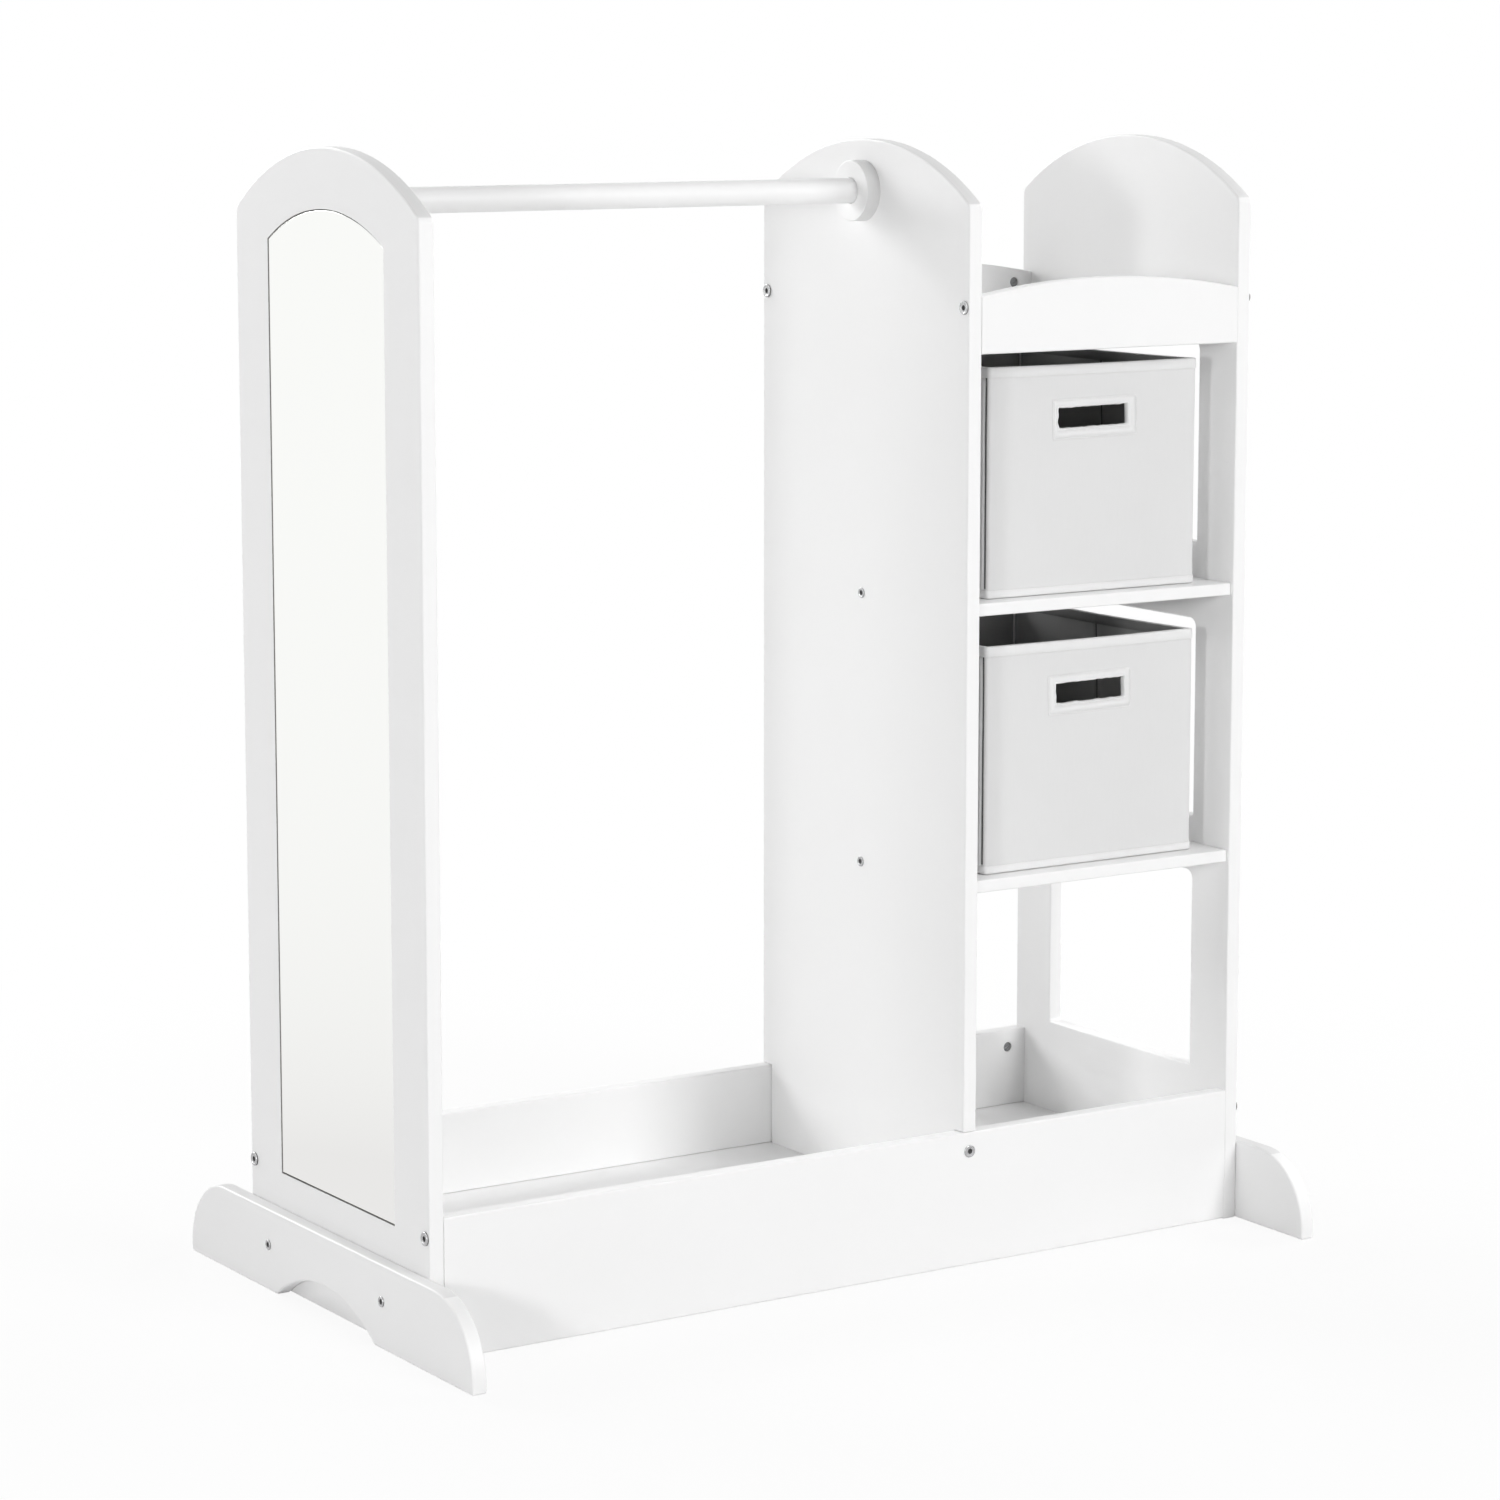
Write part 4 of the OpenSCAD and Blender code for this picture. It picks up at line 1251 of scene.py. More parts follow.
@dataclass
class Hardware:
    """The screws, bolts and barrel nuts that hold the boards together."""

    bolt: ScrewForm = ScrewForm(0.0065, 0.0016, 0.003, 0.045)
    wood_screw: ScrewForm = ScrewForm(0.0050, 0.0010, 0.0025, 0.045)
    foot_screw: ScrewForm = ScrewForm(0.0050, 0.0010, 0.0025, 0.025)
    divider_screw: ScrewForm = ScrewForm(0.0060, 0.0010, 0.0025, 0.045)
    dressing: Dressing = Dressing((SCREW_STEEL, SOCKET_SHADE_STEEL), arris=0.00018, segments=2)
    nut_dressing: Dressing = Dressing((NUT_STEEL,), arris=0.00012, segments=1)
    nut_chamfer: float = 0.0005
    nut_segments: int = 36
    slot_half: float = 0.0007
    slot_depth: float = 0.0012
    slot_turn: float = math.radians(25)

    def build(self) -> None:
        """Makes all groups of fasteners, and dresses the hidden dowels."""
        left, bay, right = (Span.of(f"{place}_panel") for place in ("left", "middle", "right"))
        self.pairs("rail_bolts", self.bolt, (left.low.x, right.high.x))
        self.pairs("apron_bolts", self.bolt, (bay.low.x, right.high.x))
        feet = (Span.of("left_foot").low.x, Span.of("right_foot").high.x)
        self.pairs("foot_screws", self.foot_screw, feet)
        shelves = [Span.of(node).middle.z for node in ("lower_shelf", "upper_shelf")]
        self.across("shelf_screws", self.wood_screw, (bay.low.x, right.high.x), [0.0], shelves)
        self.divider_screws()
        self.barrel_nuts("rail_barrel_nuts")
        self.barrel_nuts("apron_barrel_nuts")
        dress_nodes(DOWEL_BEECH, "rail_dowels", "apron_dowels", "shelf_dowels")

    def pairs(self, node: str, form: ScrewForm, faces: Sequence[float]) -> None:
        """Makes fasteners along X in pairs, one at the front and one behind."""
        span = Span.of(node)
        ys = [span.low.y + form.head_radius, span.high.y - form.head_radius]
        self.across(node, form, faces, ys, [span.middle.z])

    def across(
        self, node: str, form: ScrewForm, faces: Sequence[float], ys: Sequence[float], zs: Sequence[float]
    ) -> None:
        """Makes the fasteners that go in along X.

        Args:
            node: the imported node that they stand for.
            form: their form.
            faces: X of the left and the right face that they go into.
            ys: their Y places.
            zs: their heights.
        """
        bench = Bench()
        for x, out in zip(faces, (-RIGHT, RIGHT), strict=True):
            for y in ys:
                for z in zs:
                    bench.turn(Vector((x, y, z)), out, form.rings())
        self.finish(node, bench)

    def divider_screws(self) -> None:
        """Makes the two screws through the rails into the middle panel's edges."""
        bench, span, panel = Bench(), Span.of("divider_screws"), Span.of("middle_panel")
        for y, out in ((panel.low.y, -BACK), (panel.high.y, BACK)):
            bench.turn(Vector((panel.middle.x, y, span.middle.z)), out, self.divider_screw.rings())
        self.finish("divider_screws", bench)

    def finish(self, node: str, bench: Bench) -> None:
        """Dresses a group of fasteners in steel."""
        bench.soften(whole)
        self.dressing.apply(f"{node}_turned", bench, Body.CARCASS, [node])

    def barrel_nuts(self, node: str) -> None:
        """Makes the barrel nuts of a node, each with a slot in its inner end."""
        bench, span = Bench(), Span.of(node)
        radius, chamfer = span.size.z / 2, self.nut_chamfer
        from_middle = abs(Span.of("front_rail").middle.y)
        half = abs(span.low.y) - from_middle
        rings = [Ring(radius - chamfer, -half), Ring(radius, chamfer - half),
                 Ring(radius, half - chamfer), Ring(radius - chamfer, half)]
        for x in (span.low.x + radius, span.high.x - radius):
            for way in Way:
                origin = Vector((x, way.value * from_middle, span.middle.z))
                inward = BACK * -way.value
                self.cut_slot(bench, bench.turn(origin, inward, rings, self.nut_segments), inward)
        bench.soften(whole)
        self.nut_dressing.apply(f"{node}_turned", bench, Body.CARCASS, [node])

    def cut_slot(self, bench: Bench, cap: BMFace, inward: Vector) -> None:
        """Sinks a screwdriver slot into the end of a barrel nut."""
        centre = cap.calc_center_median()
        across = RIGHT * -math.sin(self.slot_turn) + UP * math.cos(self.slot_turn)
        for way in Way:
            side = centre + across * way.value * self.slot_half
            bench.split(self.end_faces(bench, centre, inward), side, across)
        ends = self.end_faces(bench, centre, inward)
        middle = min(ends, key=lambda face: (face.calc_center_median() - centre).length)
        bench.push([middle], -inward * self.slot_depth)

    def end_faces(self, bench: Bench, centre: Vector, inward: Vector) -> list[BMFace]:
        """Returns the faces that make up the flat end of one barrel nut."""
        reach = Span.of("rail_barrel_nuts").size.z / 2
        near = [f for f in bench.mesh.faces if (f.calc_center_median() - centre).length < reach]
        return [f for f in near if all(abs((v.co - centre).dot(inward)) < MERGE for v in f.verts)]


# ---------------------------------------------------------------- fabric bins


@dataclass
class FabricBin:
    """A folding fabric bin: stiff boards between canvas and lining, taped edges and a handle hole."""

    body: Body
    turn: float
    seed: float
    aside: float = 0.0
    patch_aside: float = 0.0009
    width: float = 0.245
    depth: float = 0.290
    height: float = 0.219
    corner: float = 0.0035
    tight_corner: float = 0.0007
    skin: float = 0.0075
    cover: float = 0.0012
    board: float = 0.0020
    lining: float = 0.0008
    layer_gap: float = 0.0001
    eased: float = 0.0008  # rounding of a layer's lower edge
    creep: float = 0.008  # faces this close to a wall belong to it
    tape: float = 0.0008
    hem: float = 0.010
    hem_soft: float = 0.0014
    band: float = 0.008
    base: float = 0.0025
    base_gap: float = 0.001  # between the loose board in the bottom and the lining
    base_radius: float = 0.0030
    foot_turns: Sequence[float] = (80, 60, 40, 20, 0)  # rows of the round lower edge, in degrees
    band_turns: Sequence[float] = (46, 30, 15, 0)
    row: float = 0.0065
    board_row: float = 0.012
    board_split: float = 0.0015  # half the gap between the two halves of a side's board
    front_bulge: float = 0.0010
    front_hollow: float = 0.0012
    front_sag: float = 0.0007
    side_bulge: float = 0.0006
    side_hollow: float = 0.0022
    side_sag: float = 0.0013
    fold_reach: float = 0.010
    fold_in: float = 0.0012
    drift: float = 0.0007
    drift_spots: float = 16.0
    fade: float = 0.004  # pressed lines fade out over this length at their ends
    crease_from_end: float = 0.0042
    crease_half: float = 0.0012
    crease_depth: float = 0.0019
    cord_from_end: float = 0.0072
    cord_radius: float = 0.0015
    cord_steps: int = 24
    piping_inset: float = 0.0012
    piping_foot: float = 0.006
    piping_radius: float = 0.0011
    fold_half: float = 0.0010
    fold_depth: float = 0.0016
    handle_width: float = 0.081
    handle_height: float = 0.019
    handle_drop: float = 0.0504
    handle_aside: float = -0.0018
    handle_tilt: float = math.radians(0.8)
    handle_side: float = 0.0091
    handle_edge: float = 0.0098
    handle_thick: float = 0.0011
    handle_groove: float = 0.0006
    handle_cut: float = 0.0027
    hole_margin: float = 0.03  # the wall is divided this far round the hole
    wall_reach: float = 0.006  # all layers of the front wall lie within this
    handle_roll: float = 0.0016
    handle_corner: float = 0.0012
    handle_row: float = 0.0026
    lip_spots: float = 170.0
    lip_frayed: float = 0.0017  # how uneven the rolled lip is at its left end
    lip_uneven: float = 0.0005
    lip_uneven_z: float = 0.0007
    patch_drop: float = 0.0012
    stitch_in: float = 0.0009
    seam_in: float = 0.0014
    stitch_step: float = 0.0036
    stitch_length: float = 0.0024
    stitch_radius: float = 0.00028

    def __post_init__(self) -> None:
        """Works out where the bin stands, and the depths of its layers below the canvas's face."""
        cover = Span.of(self.node("cover"))
        centre = Vector((cover.middle.x + self.aside, cover.middle.y, cover.low.z))
        self.place = Matrix.Translation(centre) @ Matrix.Rotation(self.turn, 4, "Z")
        self.board_in = self.cover + self.layer_gap
        self.lining_in = self.board_in + self.board + self.layer_gap
        self.wall = self.lining_in + self.lining
        self.wall_top = self.height - self.tape - self.layer_gap
        self.handle_z = self.height - self.handle_drop

    def node(self, part: str) -> str:
        """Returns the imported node's name for one of the bin's parts."""
        return f"{self.body.value}_{part}"

    # ---- the shape that all layers share

    def core(self, point: Vector, inset: float) -> Vector:
        """Returns the nearest point, in plan, of the bin's outline inset by a distance."""
        half_x, half_y = self.width / 2 - inset, self.depth / 2 - inset
        return Vector((max(-half_x, min(half_x, point.x)), max(-half_y, min(half_y, point.y)), 0.0))

    def outward(self, point: Vector) -> Vector:
        """Returns the way out of the bin at a point of its walls, or nothing further in."""
        out = Vector((point.x, point.y, 0.0)) - self.core(point, self.skin)
        return out.normalized() if out.length > MERGE else Vector()

    def grown(self, point: Vector, grow: float, z: float) -> Vector:
        """Returns a point of the wall's outline, grown outwards, at a height.

        Args:
            point: the point on the bin's own outline.
            grow: how far the outline grows, or less than 0 to shrink it.
            z: the height.

        Returns:
            The new point, with at least a tight corner left.
        """
        core = self.core(point, self.corner)
        out = (Vector((point.x, point.y, 0.0)) - core).normalized()
        radius = max(self.tight_corner, self.corner + grow)
        return self.core(core, radius - grow) + out * radius + UP * z

    def slump(self, point: Vector) -> Vector:
        """Returns where a point of the crisp bin ends up once its walls bow and its top edge sags."""
        out = self.outward(point)
        if out.length < 0.5:
            return point
        along_x, along_y = point.x / (self.width / 2), point.y / (self.depth / 2)
        up = max(0.0, min(1.0, point.z / self.height))
        wave, mid_x, mid_y = math.sin(math.pi * up), 1 - min(1.0, along_x**2), 1 - min(1.0, along_y**2)
        front = mid_x * (self.front_bulge * wave - self.front_hollow * up**3)
        side = mid_y * (self.side_bulge * wave - self.side_hollow * up**2)
        fold = max(0.0, 1 - abs(point.y) / self.fold_reach) ** 2 * self.fold_in * up
        bow = out.y**2 * front + out.x**2 * (side - fold)
        place = self.core(point, self.skin) + UP * point.z + Vector((self.seed, 0.0, 0.0))
        drift = noise.noise(place * self.drift_spots) * self.drift * up
        sag = out.y**2 * mid_x * self.front_sag + out.x**2 * mid_y * self.side_sag
        return point + out * (bow + drift) - UP * sag * up**3

    def pressed(self, point: Vector, centre: float, half: float, depth: float) -> Vector:
        """Returns a point of a side wall, pressed in by a depth along an upright line.

        Args:
            point: the point.
            centre: how far the line is from the bin's middle, forwards and backwards.
            half: half the line's width.
            depth: its depth, or less than 0 for a line that is pressed outwards.

        Returns:
            The pressed point, or the same one if it is off the line.
        """
        out = self.outward(point)
        off = abs(abs(point.y) - centre)
        if abs(out.x) < 0.7 or off >= half - MERGE:
            return point
        from_end = min(point.z - self.band, self.height - self.hem - point.z)
        return point - out * depth * min(1.0, max(0.0, from_end / self.fade))

    # ---- building steps

    def loop(self, bench: Bench) -> list[BMEdge]:
        """Draws the bin's outline in plan as a closed loop of short edges, and marks their points' places."""
        outline = bench.mesh.verts.layers.float_vector.new("outline")
        x, y = self.width / 2, self.depth / 2
        face = bench.outline(Vector(p) for p in ((-x, -y, 0), (x, -y, 0), (x, y, 0), (-x, y, 0)))
        bench.round_corners(list(face.verts), self.corner, 5)
        bmesh.ops.delete(bench.mesh, geom=bench.mesh.faces[:], context="FACES_ONLY")
        edge_y, steps = y - self.crease_from_end, (-1.0, 0.0, 1.0)
        places = [way.value * (edge_y + step * self.crease_half) for way in Way for step in steps]
        places += [step * self.fold_half for step in steps]
        for place in places:
            parts = [*bench.mesh.verts, *bench.mesh.edges]
            bmesh.ops.bisect_plane(bench.mesh, geom=parts, plane_co=(0.0, place, 0.0), plane_no=BACK)
        for edge in [edge for edge in bench.mesh.edges if edge.calc_length() > 4 * self.row]:
            cuts = 2 * round(edge.calc_length() / self.row / 2) - 1
            bmesh.ops.subdivide_edges(bench.mesh, edges=[edge], cuts=cuts)
        for vert in bench.mesh.verts:
            vert[outline] = vert.co
        return bench.mesh.edges[:]

    def layer(self, profile: Sequence[tuple[float, float]], closed: bool) -> Bench:
        """Makes a layer by drawing the bin's outline through a profile.

        Args:
            profile: growth outwards and height of each row.
            closed: whether the first and the last row are closed across the bin, and not joined.

        Returns:
            The bench with the layer.
        """
        bench = Bench()
        start = loop = self.loop(bench)
        outline = bench.mesh.verts.layers.float_vector["outline"]
        for index, (grow, z) in enumerate(profile):
            if index:
                loop = bench.extend(loop)
            for vert in {v for edge in loop for v in edge.verts}:
                vert.co = self.grown(vert[outline], grow, z)
        if closed:
            bmesh.ops.edgeloop_fill(bench.mesh, edges=start)
            bmesh.ops.edgeloop_fill(bench.mesh, edges=loop)
        else:
            bmesh.ops.bridge_loops(bench.mesh, edges=[*start, *loop])
        return bench

    def climb(self, grow: float, low: float, high: float) -> list[tuple[float, float]]:
        """Returns evenly spaced rows of a straight wall, upwards or downwards."""
        steps = max(1, round(abs(high - low) / self.row))
        return [(grow, low + (high - low) * step / steps) for step in range(steps + 1)]

    def foot_curve(self, grow: float, turns: Sequence[float]) -> list[tuple[float, float]]:
        """Returns rows of the round edge between bottom and wall, at angles in degrees from the side."""
        radius, base = self.base_radius + grow, self.base_radius
        angles = [math.radians(turn) for turn in turns]
        return [(radius * math.cos(a) - base, base - radius * math.sin(a)) for a in angles]

    def shell(self, outer: float, inner: float, floor: float, top: float, foot: bool) -> Bench:
        """Makes an open box with walls of some thickness.

        Args:
            outer: growth of its outer face.
            inner: growth of its inner face.
            floor: height of its underside.
            top: height of its upper edge.
            foot: whether its lower edge is round.

        Returns:
            The bench with the box.
        """
        lower = [(outer - self.eased, floor), (outer, floor + self.eased)]
        if foot:
            lower = self.foot_curve(outer, self.foot_turns)
        outside = [*lower, *self.climb(outer, lower[-1][1], top)[1:]]
        inside = self.climb(inner, top, floor + outer - inner)
        return self.layer([*outside, *inside], closed=True)

    def cut_handle(self, bench: Bench) -> None:
        """Cuts the handle hole through a layer's front wall, large enough for the frame's sleeve."""
        half_w, half_h = self.handle_width / 2 + self.handle_cut, self.handle_height / 2 + self.handle_cut
        cuts = [(Vector((self.handle_aside + way.value * half_w, 0.0, 0.0)), RIGHT) for way in Way]
        cuts += [(Vector((0.0, 0.0, self.handle_z + way.value * half_h)), UP) for way in Way]
        for at, normal in cuts:
            near = self.front_faces(bench, half_w + self.hole_margin, half_h + self.hole_margin)
            bench.split(near, at, normal)
        hole = self.front_faces(bench, half_w, half_h)
        bmesh.ops.delete(bench.mesh, geom=hole, context="FACES")
        bmesh.ops.bridge_loops(bench.mesh, edges=[edge for edge in bench.mesh.edges if edge.is_boundary])

    def front_faces(self, bench: Bench, half_w: float, half_h: float) -> list[BMFace]:
        """Returns the front wall's faces whose middle is within a distance of the handle's middle."""
        found = []
        for face in bench.mesh.faces:
            middle = face.calc_center_median()
            near = abs(middle.x - self.handle_aside) < half_w and abs(middle.z - self.handle_z) < half_h
            in_wall = middle.y < self.wall_reach - self.depth / 2
            if near and in_wall and (abs(face.normal.y) > 0.5 or face.normal.length < 0.5):
                found.append(face)
        return found

    def map_cloth(self, bench: Bench) -> None:
        """Gives a cloth its UV map, in metres along each wall."""
        layer = bench.mesh.loops.layers.uv.new("cloth")
        for face in bench.mesh.faces:
            normal = face.normal
            for corner in face.loops:
                x, y, z = corner.vert.co
                if abs(normal.z) > max(abs(normal.x), abs(normal.y)):
                    corner[layer].uv = (x, y)
                elif abs(normal.y) >= abs(normal.x):
                    corner[layer].uv = (x, z)
                else:
                    corner[layer].uv = (y + 1.0, z)

    def finish(self, part: str, bench: Bench, finishes: Sequence[Finish]) -> None:
        """Lets a layer slump, sets it on its shelf and dresses it."""
        bench.settle()
        for layer in bench.mesh.verts.layers.float_vector.values():
            bench.mesh.verts.layers.float_vector.remove(layer)
        self.map_cloth(bench)
        for vert in bench.mesh.verts:
            vert.co = self.place @ self.slump(vert.co)
        nodes = [self.node(part)] if self.node(part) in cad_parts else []
        Dressing(finishes).apply(f"{self.node(part)}_sewn", bench, self.body, nodes)

    # ---- the layers

    def build(self) -> None:
        """Makes every layer and trim of the bin."""
        self.make_cover()
        self.make_boards()
        self.make_lining()
        self.make_base()
        self.make_hem()
        self.make_band()
        self.make_handle()
        self.make_piping()
        self.make_stitches()

    def make_cover(self) -> None:
        """Makes the canvas outside, creased beside its front and back walls, with painted shade down in the
        creases.
        """
        bench = self.shell(0.0, -self.cover, 0.0, self.wall_top, foot=True)
        self.cut_handle(bench)
        bench.settle()
        crease = self.depth / 2 - self.crease_from_end
        self.press(bench, crease, self.crease_half, self.crease_depth)
        self.press(bench, 0.0, self.fold_half, self.fold_depth / 2)
        # the crease strips get the near-black cloth, a painted shade
        for face in self.side_strip(bench, crease, self.crease_half):
            face.material_index = 1
        self.finish("cover", bench, (BIN_CANVAS, BIN_CREASE_SHADE))

    def press(self, bench: Bench, centre: float, half: float, depth: float) -> None:
        """Presses an upright line into both side walls of a layer."""
        for vert in bench.mesh.verts:
            vert.co = self.pressed(vert.co, centre, half, depth)

    def side_strip(self, bench: Bench, centre: float, half: float) -> list[BMFace]:
        """Returns the faces of both side walls along an upright line, between band and hem."""
        found = []
        for face in bench.mesh.faces:
            middle = face.calc_center_median()
            inside = abs(abs(middle.y) - centre) < half and abs(middle.x) > self.width / 2 - self.creep
            if inside and self.band < middle.z < self.height - self.hem:
                found.append(face)
        return found

    def make_boards(self) -> None:
        """Makes the stiff boards in the walls: whole in front and behind, folded in two at the sides."""
        bench = Bench()
        half_x, half_y = self.width / 2 - self.creep, self.depth / 2 - self.creep
        low, high, split = self.board_in, self.wall_top, self.board_split
        for way in Way:
            y_out = way.value * (self.depth / 2 - self.board_in)
            x_out = way.value * (self.width / 2 - self.board_in)
            self.slab(bench, (-half_x, y_out, low), (half_x, y_out - way.value * self.board, high))
            for near, far in ((split, half_y), (-half_y, -split)):
                self.slab(bench, (x_out, near, low), (x_out - way.value * self.board, far, high))
        bench.settle()
        self.cut_handle(bench)
        self.finish("wall_boards", bench, (BIN_BOARD,))

    def slab(self, bench: Bench, one: Sequence[float], other: Sequence[float]) -> None:
        """Adds a thin board between two opposite corners, divided so that it can bow."""
        low, high = Vector(map(min, one, other)), Vector(map(max, one, other))
        verts = bench.block(low, high)
        for axis, normal in enumerate((RIGHT, BACK, UP)):
            steps = round((high[axis] - low[axis]) / self.board_row)
            for step in range(1, steps):
                bench.split(self.island(verts[0]), low + (high - low) * step / steps, normal)

    def island(self, start: BMVert) -> list[BMFace]:
        """Returns all faces that hang together with a point."""
        found, points = {}, [start]
        for vert in points:
            for face in vert.link_faces:
                if face not in found:
                    found[face] = True
                    points += face.verts
        return list(found)

    def make_lining(self) -> None:
        """Makes the dark lining."""
        bench = self.shell(-self.lining_in, -self.wall, self.board_in, self.wall_top, foot=False)
        self.cut_handle(bench)
        bench.settle()
        self.press(bench, 0.0, self.fold_half, -self.fold_depth)
        # the fold line gets the near-black cloth, a painted shade
        for face in self.side_strip(bench, 0.0, self.fold_half):
            face.material_index = 1
        self.finish("lining", bench, (BIN_LINING, BIN_CREASE_SHADE))

    def make_base(self) -> None:
        """Makes the loose covered board in the bottom."""
        grow, low = -self.wall - self.base_gap, self.board_in + self.lining + self.layer_gap
        high, ease = low + self.base, self.eased
        profile = [(grow - ease, low), (grow, low + ease), (grow, high - ease), (grow - ease, high)]
        self.finish("base_board", self.layer(profile, closed=True), (BIN_LINING,))

    def make_hem(self) -> None:
        """Makes the binding over the top edge: light outside and on top, dark on its inner leg."""
        low, top = self.height - self.hem, self.height
        gap, soft = self.layer_gap, self.hem_soft
        out, back = gap + self.tape, -self.wall - gap - self.tape
        over = [(out, top - soft), (out - soft * 0.3, top - soft * 0.3), (out - soft, top),
                (back + soft, top), (back + soft * 0.3, top - soft * 0.3), (back, top - soft)]
        middle, inner, ease = top - self.hem / 2, -self.wall - gap, self.tape / 2
        down = [(back, low + ease), (back + ease, low), (inner, low)]
        under = [(inner, top - self.tape), (gap, top - self.tape), (gap, low), (out - 0.0003, low)]
        profile = [(out, low + ease), (out, middle), *over, (back, middle), *down, *under]
        bench = self.layer(profile, closed=False)
        bench.settle()
        for face in bench.mesh.faces:
            face.material_index = int(face.normal.dot(self.outward(face.calc_center_median())) < -0.5)
        self.finish("hem", bench, (BIN_TAPE, BIN_BINDING))

    def make_band(self) -> None:
        """Makes the tape round the bottom edge."""
        gap, out, ease = self.layer_gap, self.layer_gap + self.tape, self.tape / 2
        outside = [*self.foot_curve(out, self.band_turns), (out, self.band - ease), (out - ease, self.band)]
        inside = [(gap, self.band), *self.foot_curve(gap, self.band_turns[::-1])]
        self.finish("band", self.layer([*outside, *inside], closed=False), (BIN_TAPE,))

    def make_handle(self) -> None:
        """Makes the handle's taped frame: a flat border, and a rolled lip that wraps the wall's cut edge."""
        bench = Bench()
        half_w, half_h = self.handle_width / 2, self.handle_height / 2
        places = ((-half_w, -half_h), (half_w, -half_h), (half_w, half_h), (-half_w, half_h))
        face = bench.outline(Vector((x, 0.0, z)) for x, z in places)
        bench.round_corners(list(face.verts), self.handle_corner, 3)
        bmesh.ops.delete(bench.mesh, geom=bench.mesh.faces[:], context="FACES_ONLY")
        for edge in [e for e in bench.mesh.edges if e.calc_length() > 2 * self.handle_row]:
            cuts = round(edge.calc_length() / self.handle_row)
            bmesh.ops.subdivide_edges(bench.mesh, edges=[edge], cuts=cuts)
        start = loop = bench.mesh.edges[:]
        rows = []
        for index, (grow_x, grow_z, out, share) in enumerate(self.handle_profile()):
            if index:
                loop = bench.extend(loop)
            verts = {v for e in loop for v in e.verts}
            reach_x = max(abs(v.co.x) for v in verts)
            reach_z = max(abs(v.co.z) for v in verts)
            for vert in verts:
                x, z = vert.co.xz
                vert.co = (x * (half_w + grow_x) / reach_x, -out, z * (half_h + grow_z) / reach_z)
            rows.append((verts, share))
        bmesh.ops.bridge_loops(bench.mesh, edges=[*start, *loop])
        for verts, share in rows:
            for vert in verts:
                place = Vector((*vert.co.xz, self.seed))
                wave = noise.noise(place * self.lip_spots) * (1 - share)
                vert.co.x += wave * (self.lip_frayed if vert.co.x < -half_w * 0.9 else self.lip_uneven)
                vert.co.z += wave * self.lip_uneven_z
                vert.co += self.border_aside() * share
        bmesh.ops.transform(bench.mesh, matrix=self.handle_place(), verts=bench.mesh.verts[:])
        self.finish("handle", bench, (HANDLE_TAPE,))

    def border_aside(self) -> Vector:
        """Returns how far the handle's border lies off its hole."""
        return Vector((self.patch_aside - self.handle_aside, 0.0, -self.patch_drop))

    def handle_place(self) -> Matrix:
        """Returns the place of the handle's hole in the front wall, a little tilted."""
        place = Matrix.Translation((self.handle_aside, -self.depth / 2, self.handle_z))
        return place @ Matrix.Rotation(-self.handle_tilt, 4, "Y")

    def handle_profile(self) -> list[tuple[float, float, float, float]]:
        """Returns the rows of the handle's frame, from the back of its lip round to the back of its border.

        Returns:
            For each row, growth of the hole's width and height, height off the wall, and how far it
            belongs to the border, which is not quite in line with the hole.
        """
        side, edge, thick, roll = self.handle_side, self.handle_edge, self.handle_thick, self.handle_roll
        back, front = -self.wall - 0.0005, thick + 0.0011
        middle, half = (front + back) / 2, (front - back) / 2
        rows = []
        for degrees in range(-90, 91, 20):
            angle = math.radians(degrees)
            grow = roll * (1 - math.cos(angle))
            rows.append((grow, grow, middle + half * math.sin(angle), 0.0))
        sunk, gap, sleeve = thick - self.handle_groove, self.layer_gap, self.handle_cut - 0.0003
        return [
            *rows,
            (roll + 0.0006, roll + 0.0006, thick + 0.0007, 0.0), (roll + 0.0009, roll + 0.0009, thick, 0.0),
            (side * 0.5, edge * 0.5, thick - 0.0001, 0.5), (side - 0.0014, edge - 0.0014, thick, 1.0),
            (side - 0.0012, edge - 0.0012, sunk, 1.0), (side - 0.0006, edge - 0.0006, sunk, 1.0),
            (side - 0.0004, edge - 0.0004, thick - 0.0002, 1.0), (side, edge, thick - 0.0006, 1.0),
            (side, edge, gap, 1.0), (sleeve, sleeve, gap, 0.0), (sleeve, sleeve, back + 0.0006, 0.0),
        ]

    def make_piping(self) -> None:
        """Makes the light cords in the four upright corners inside, and beside the creases outside."""
        inset = self.wall + self.piping_inset
        x, y = self.width / 2 - inset, self.depth / 2 - inset
        self.cords("corner_cords", (x, -x), (y, -y), self.piping_foot, self.piping_radius)
        x, y = self.width / 2, self.depth / 2 - self.cord_from_end
        self.cords("seam_cords", (-x, x), (-y, y), self.band, self.cord_radius)

    def cords(
        self, part: str, xs: Sequence[float], ys: Sequence[float], foot: float, radius: float
    ) -> None:
        """Makes a group of upright cords, in short lengths so that they can follow the walls.

        Args:
            part: the group's name.
            xs: the cords' X places.
            ys: their Y places, each at both X places.
            foot: the height of their lower ends. They end below the hem.
            radius: their radius.
        """
        bench, length = Bench(), self.height - self.hem - foot
        rings = [Ring(radius, length * step / self.cord_steps) for step in range(self.cord_steps + 1)]
        for x in xs:
            for y in ys:
                bench.turn(Vector((x, y, foot)), UP, rings, 12)
        self.finish(part, bench, (BIN_TAPE,))

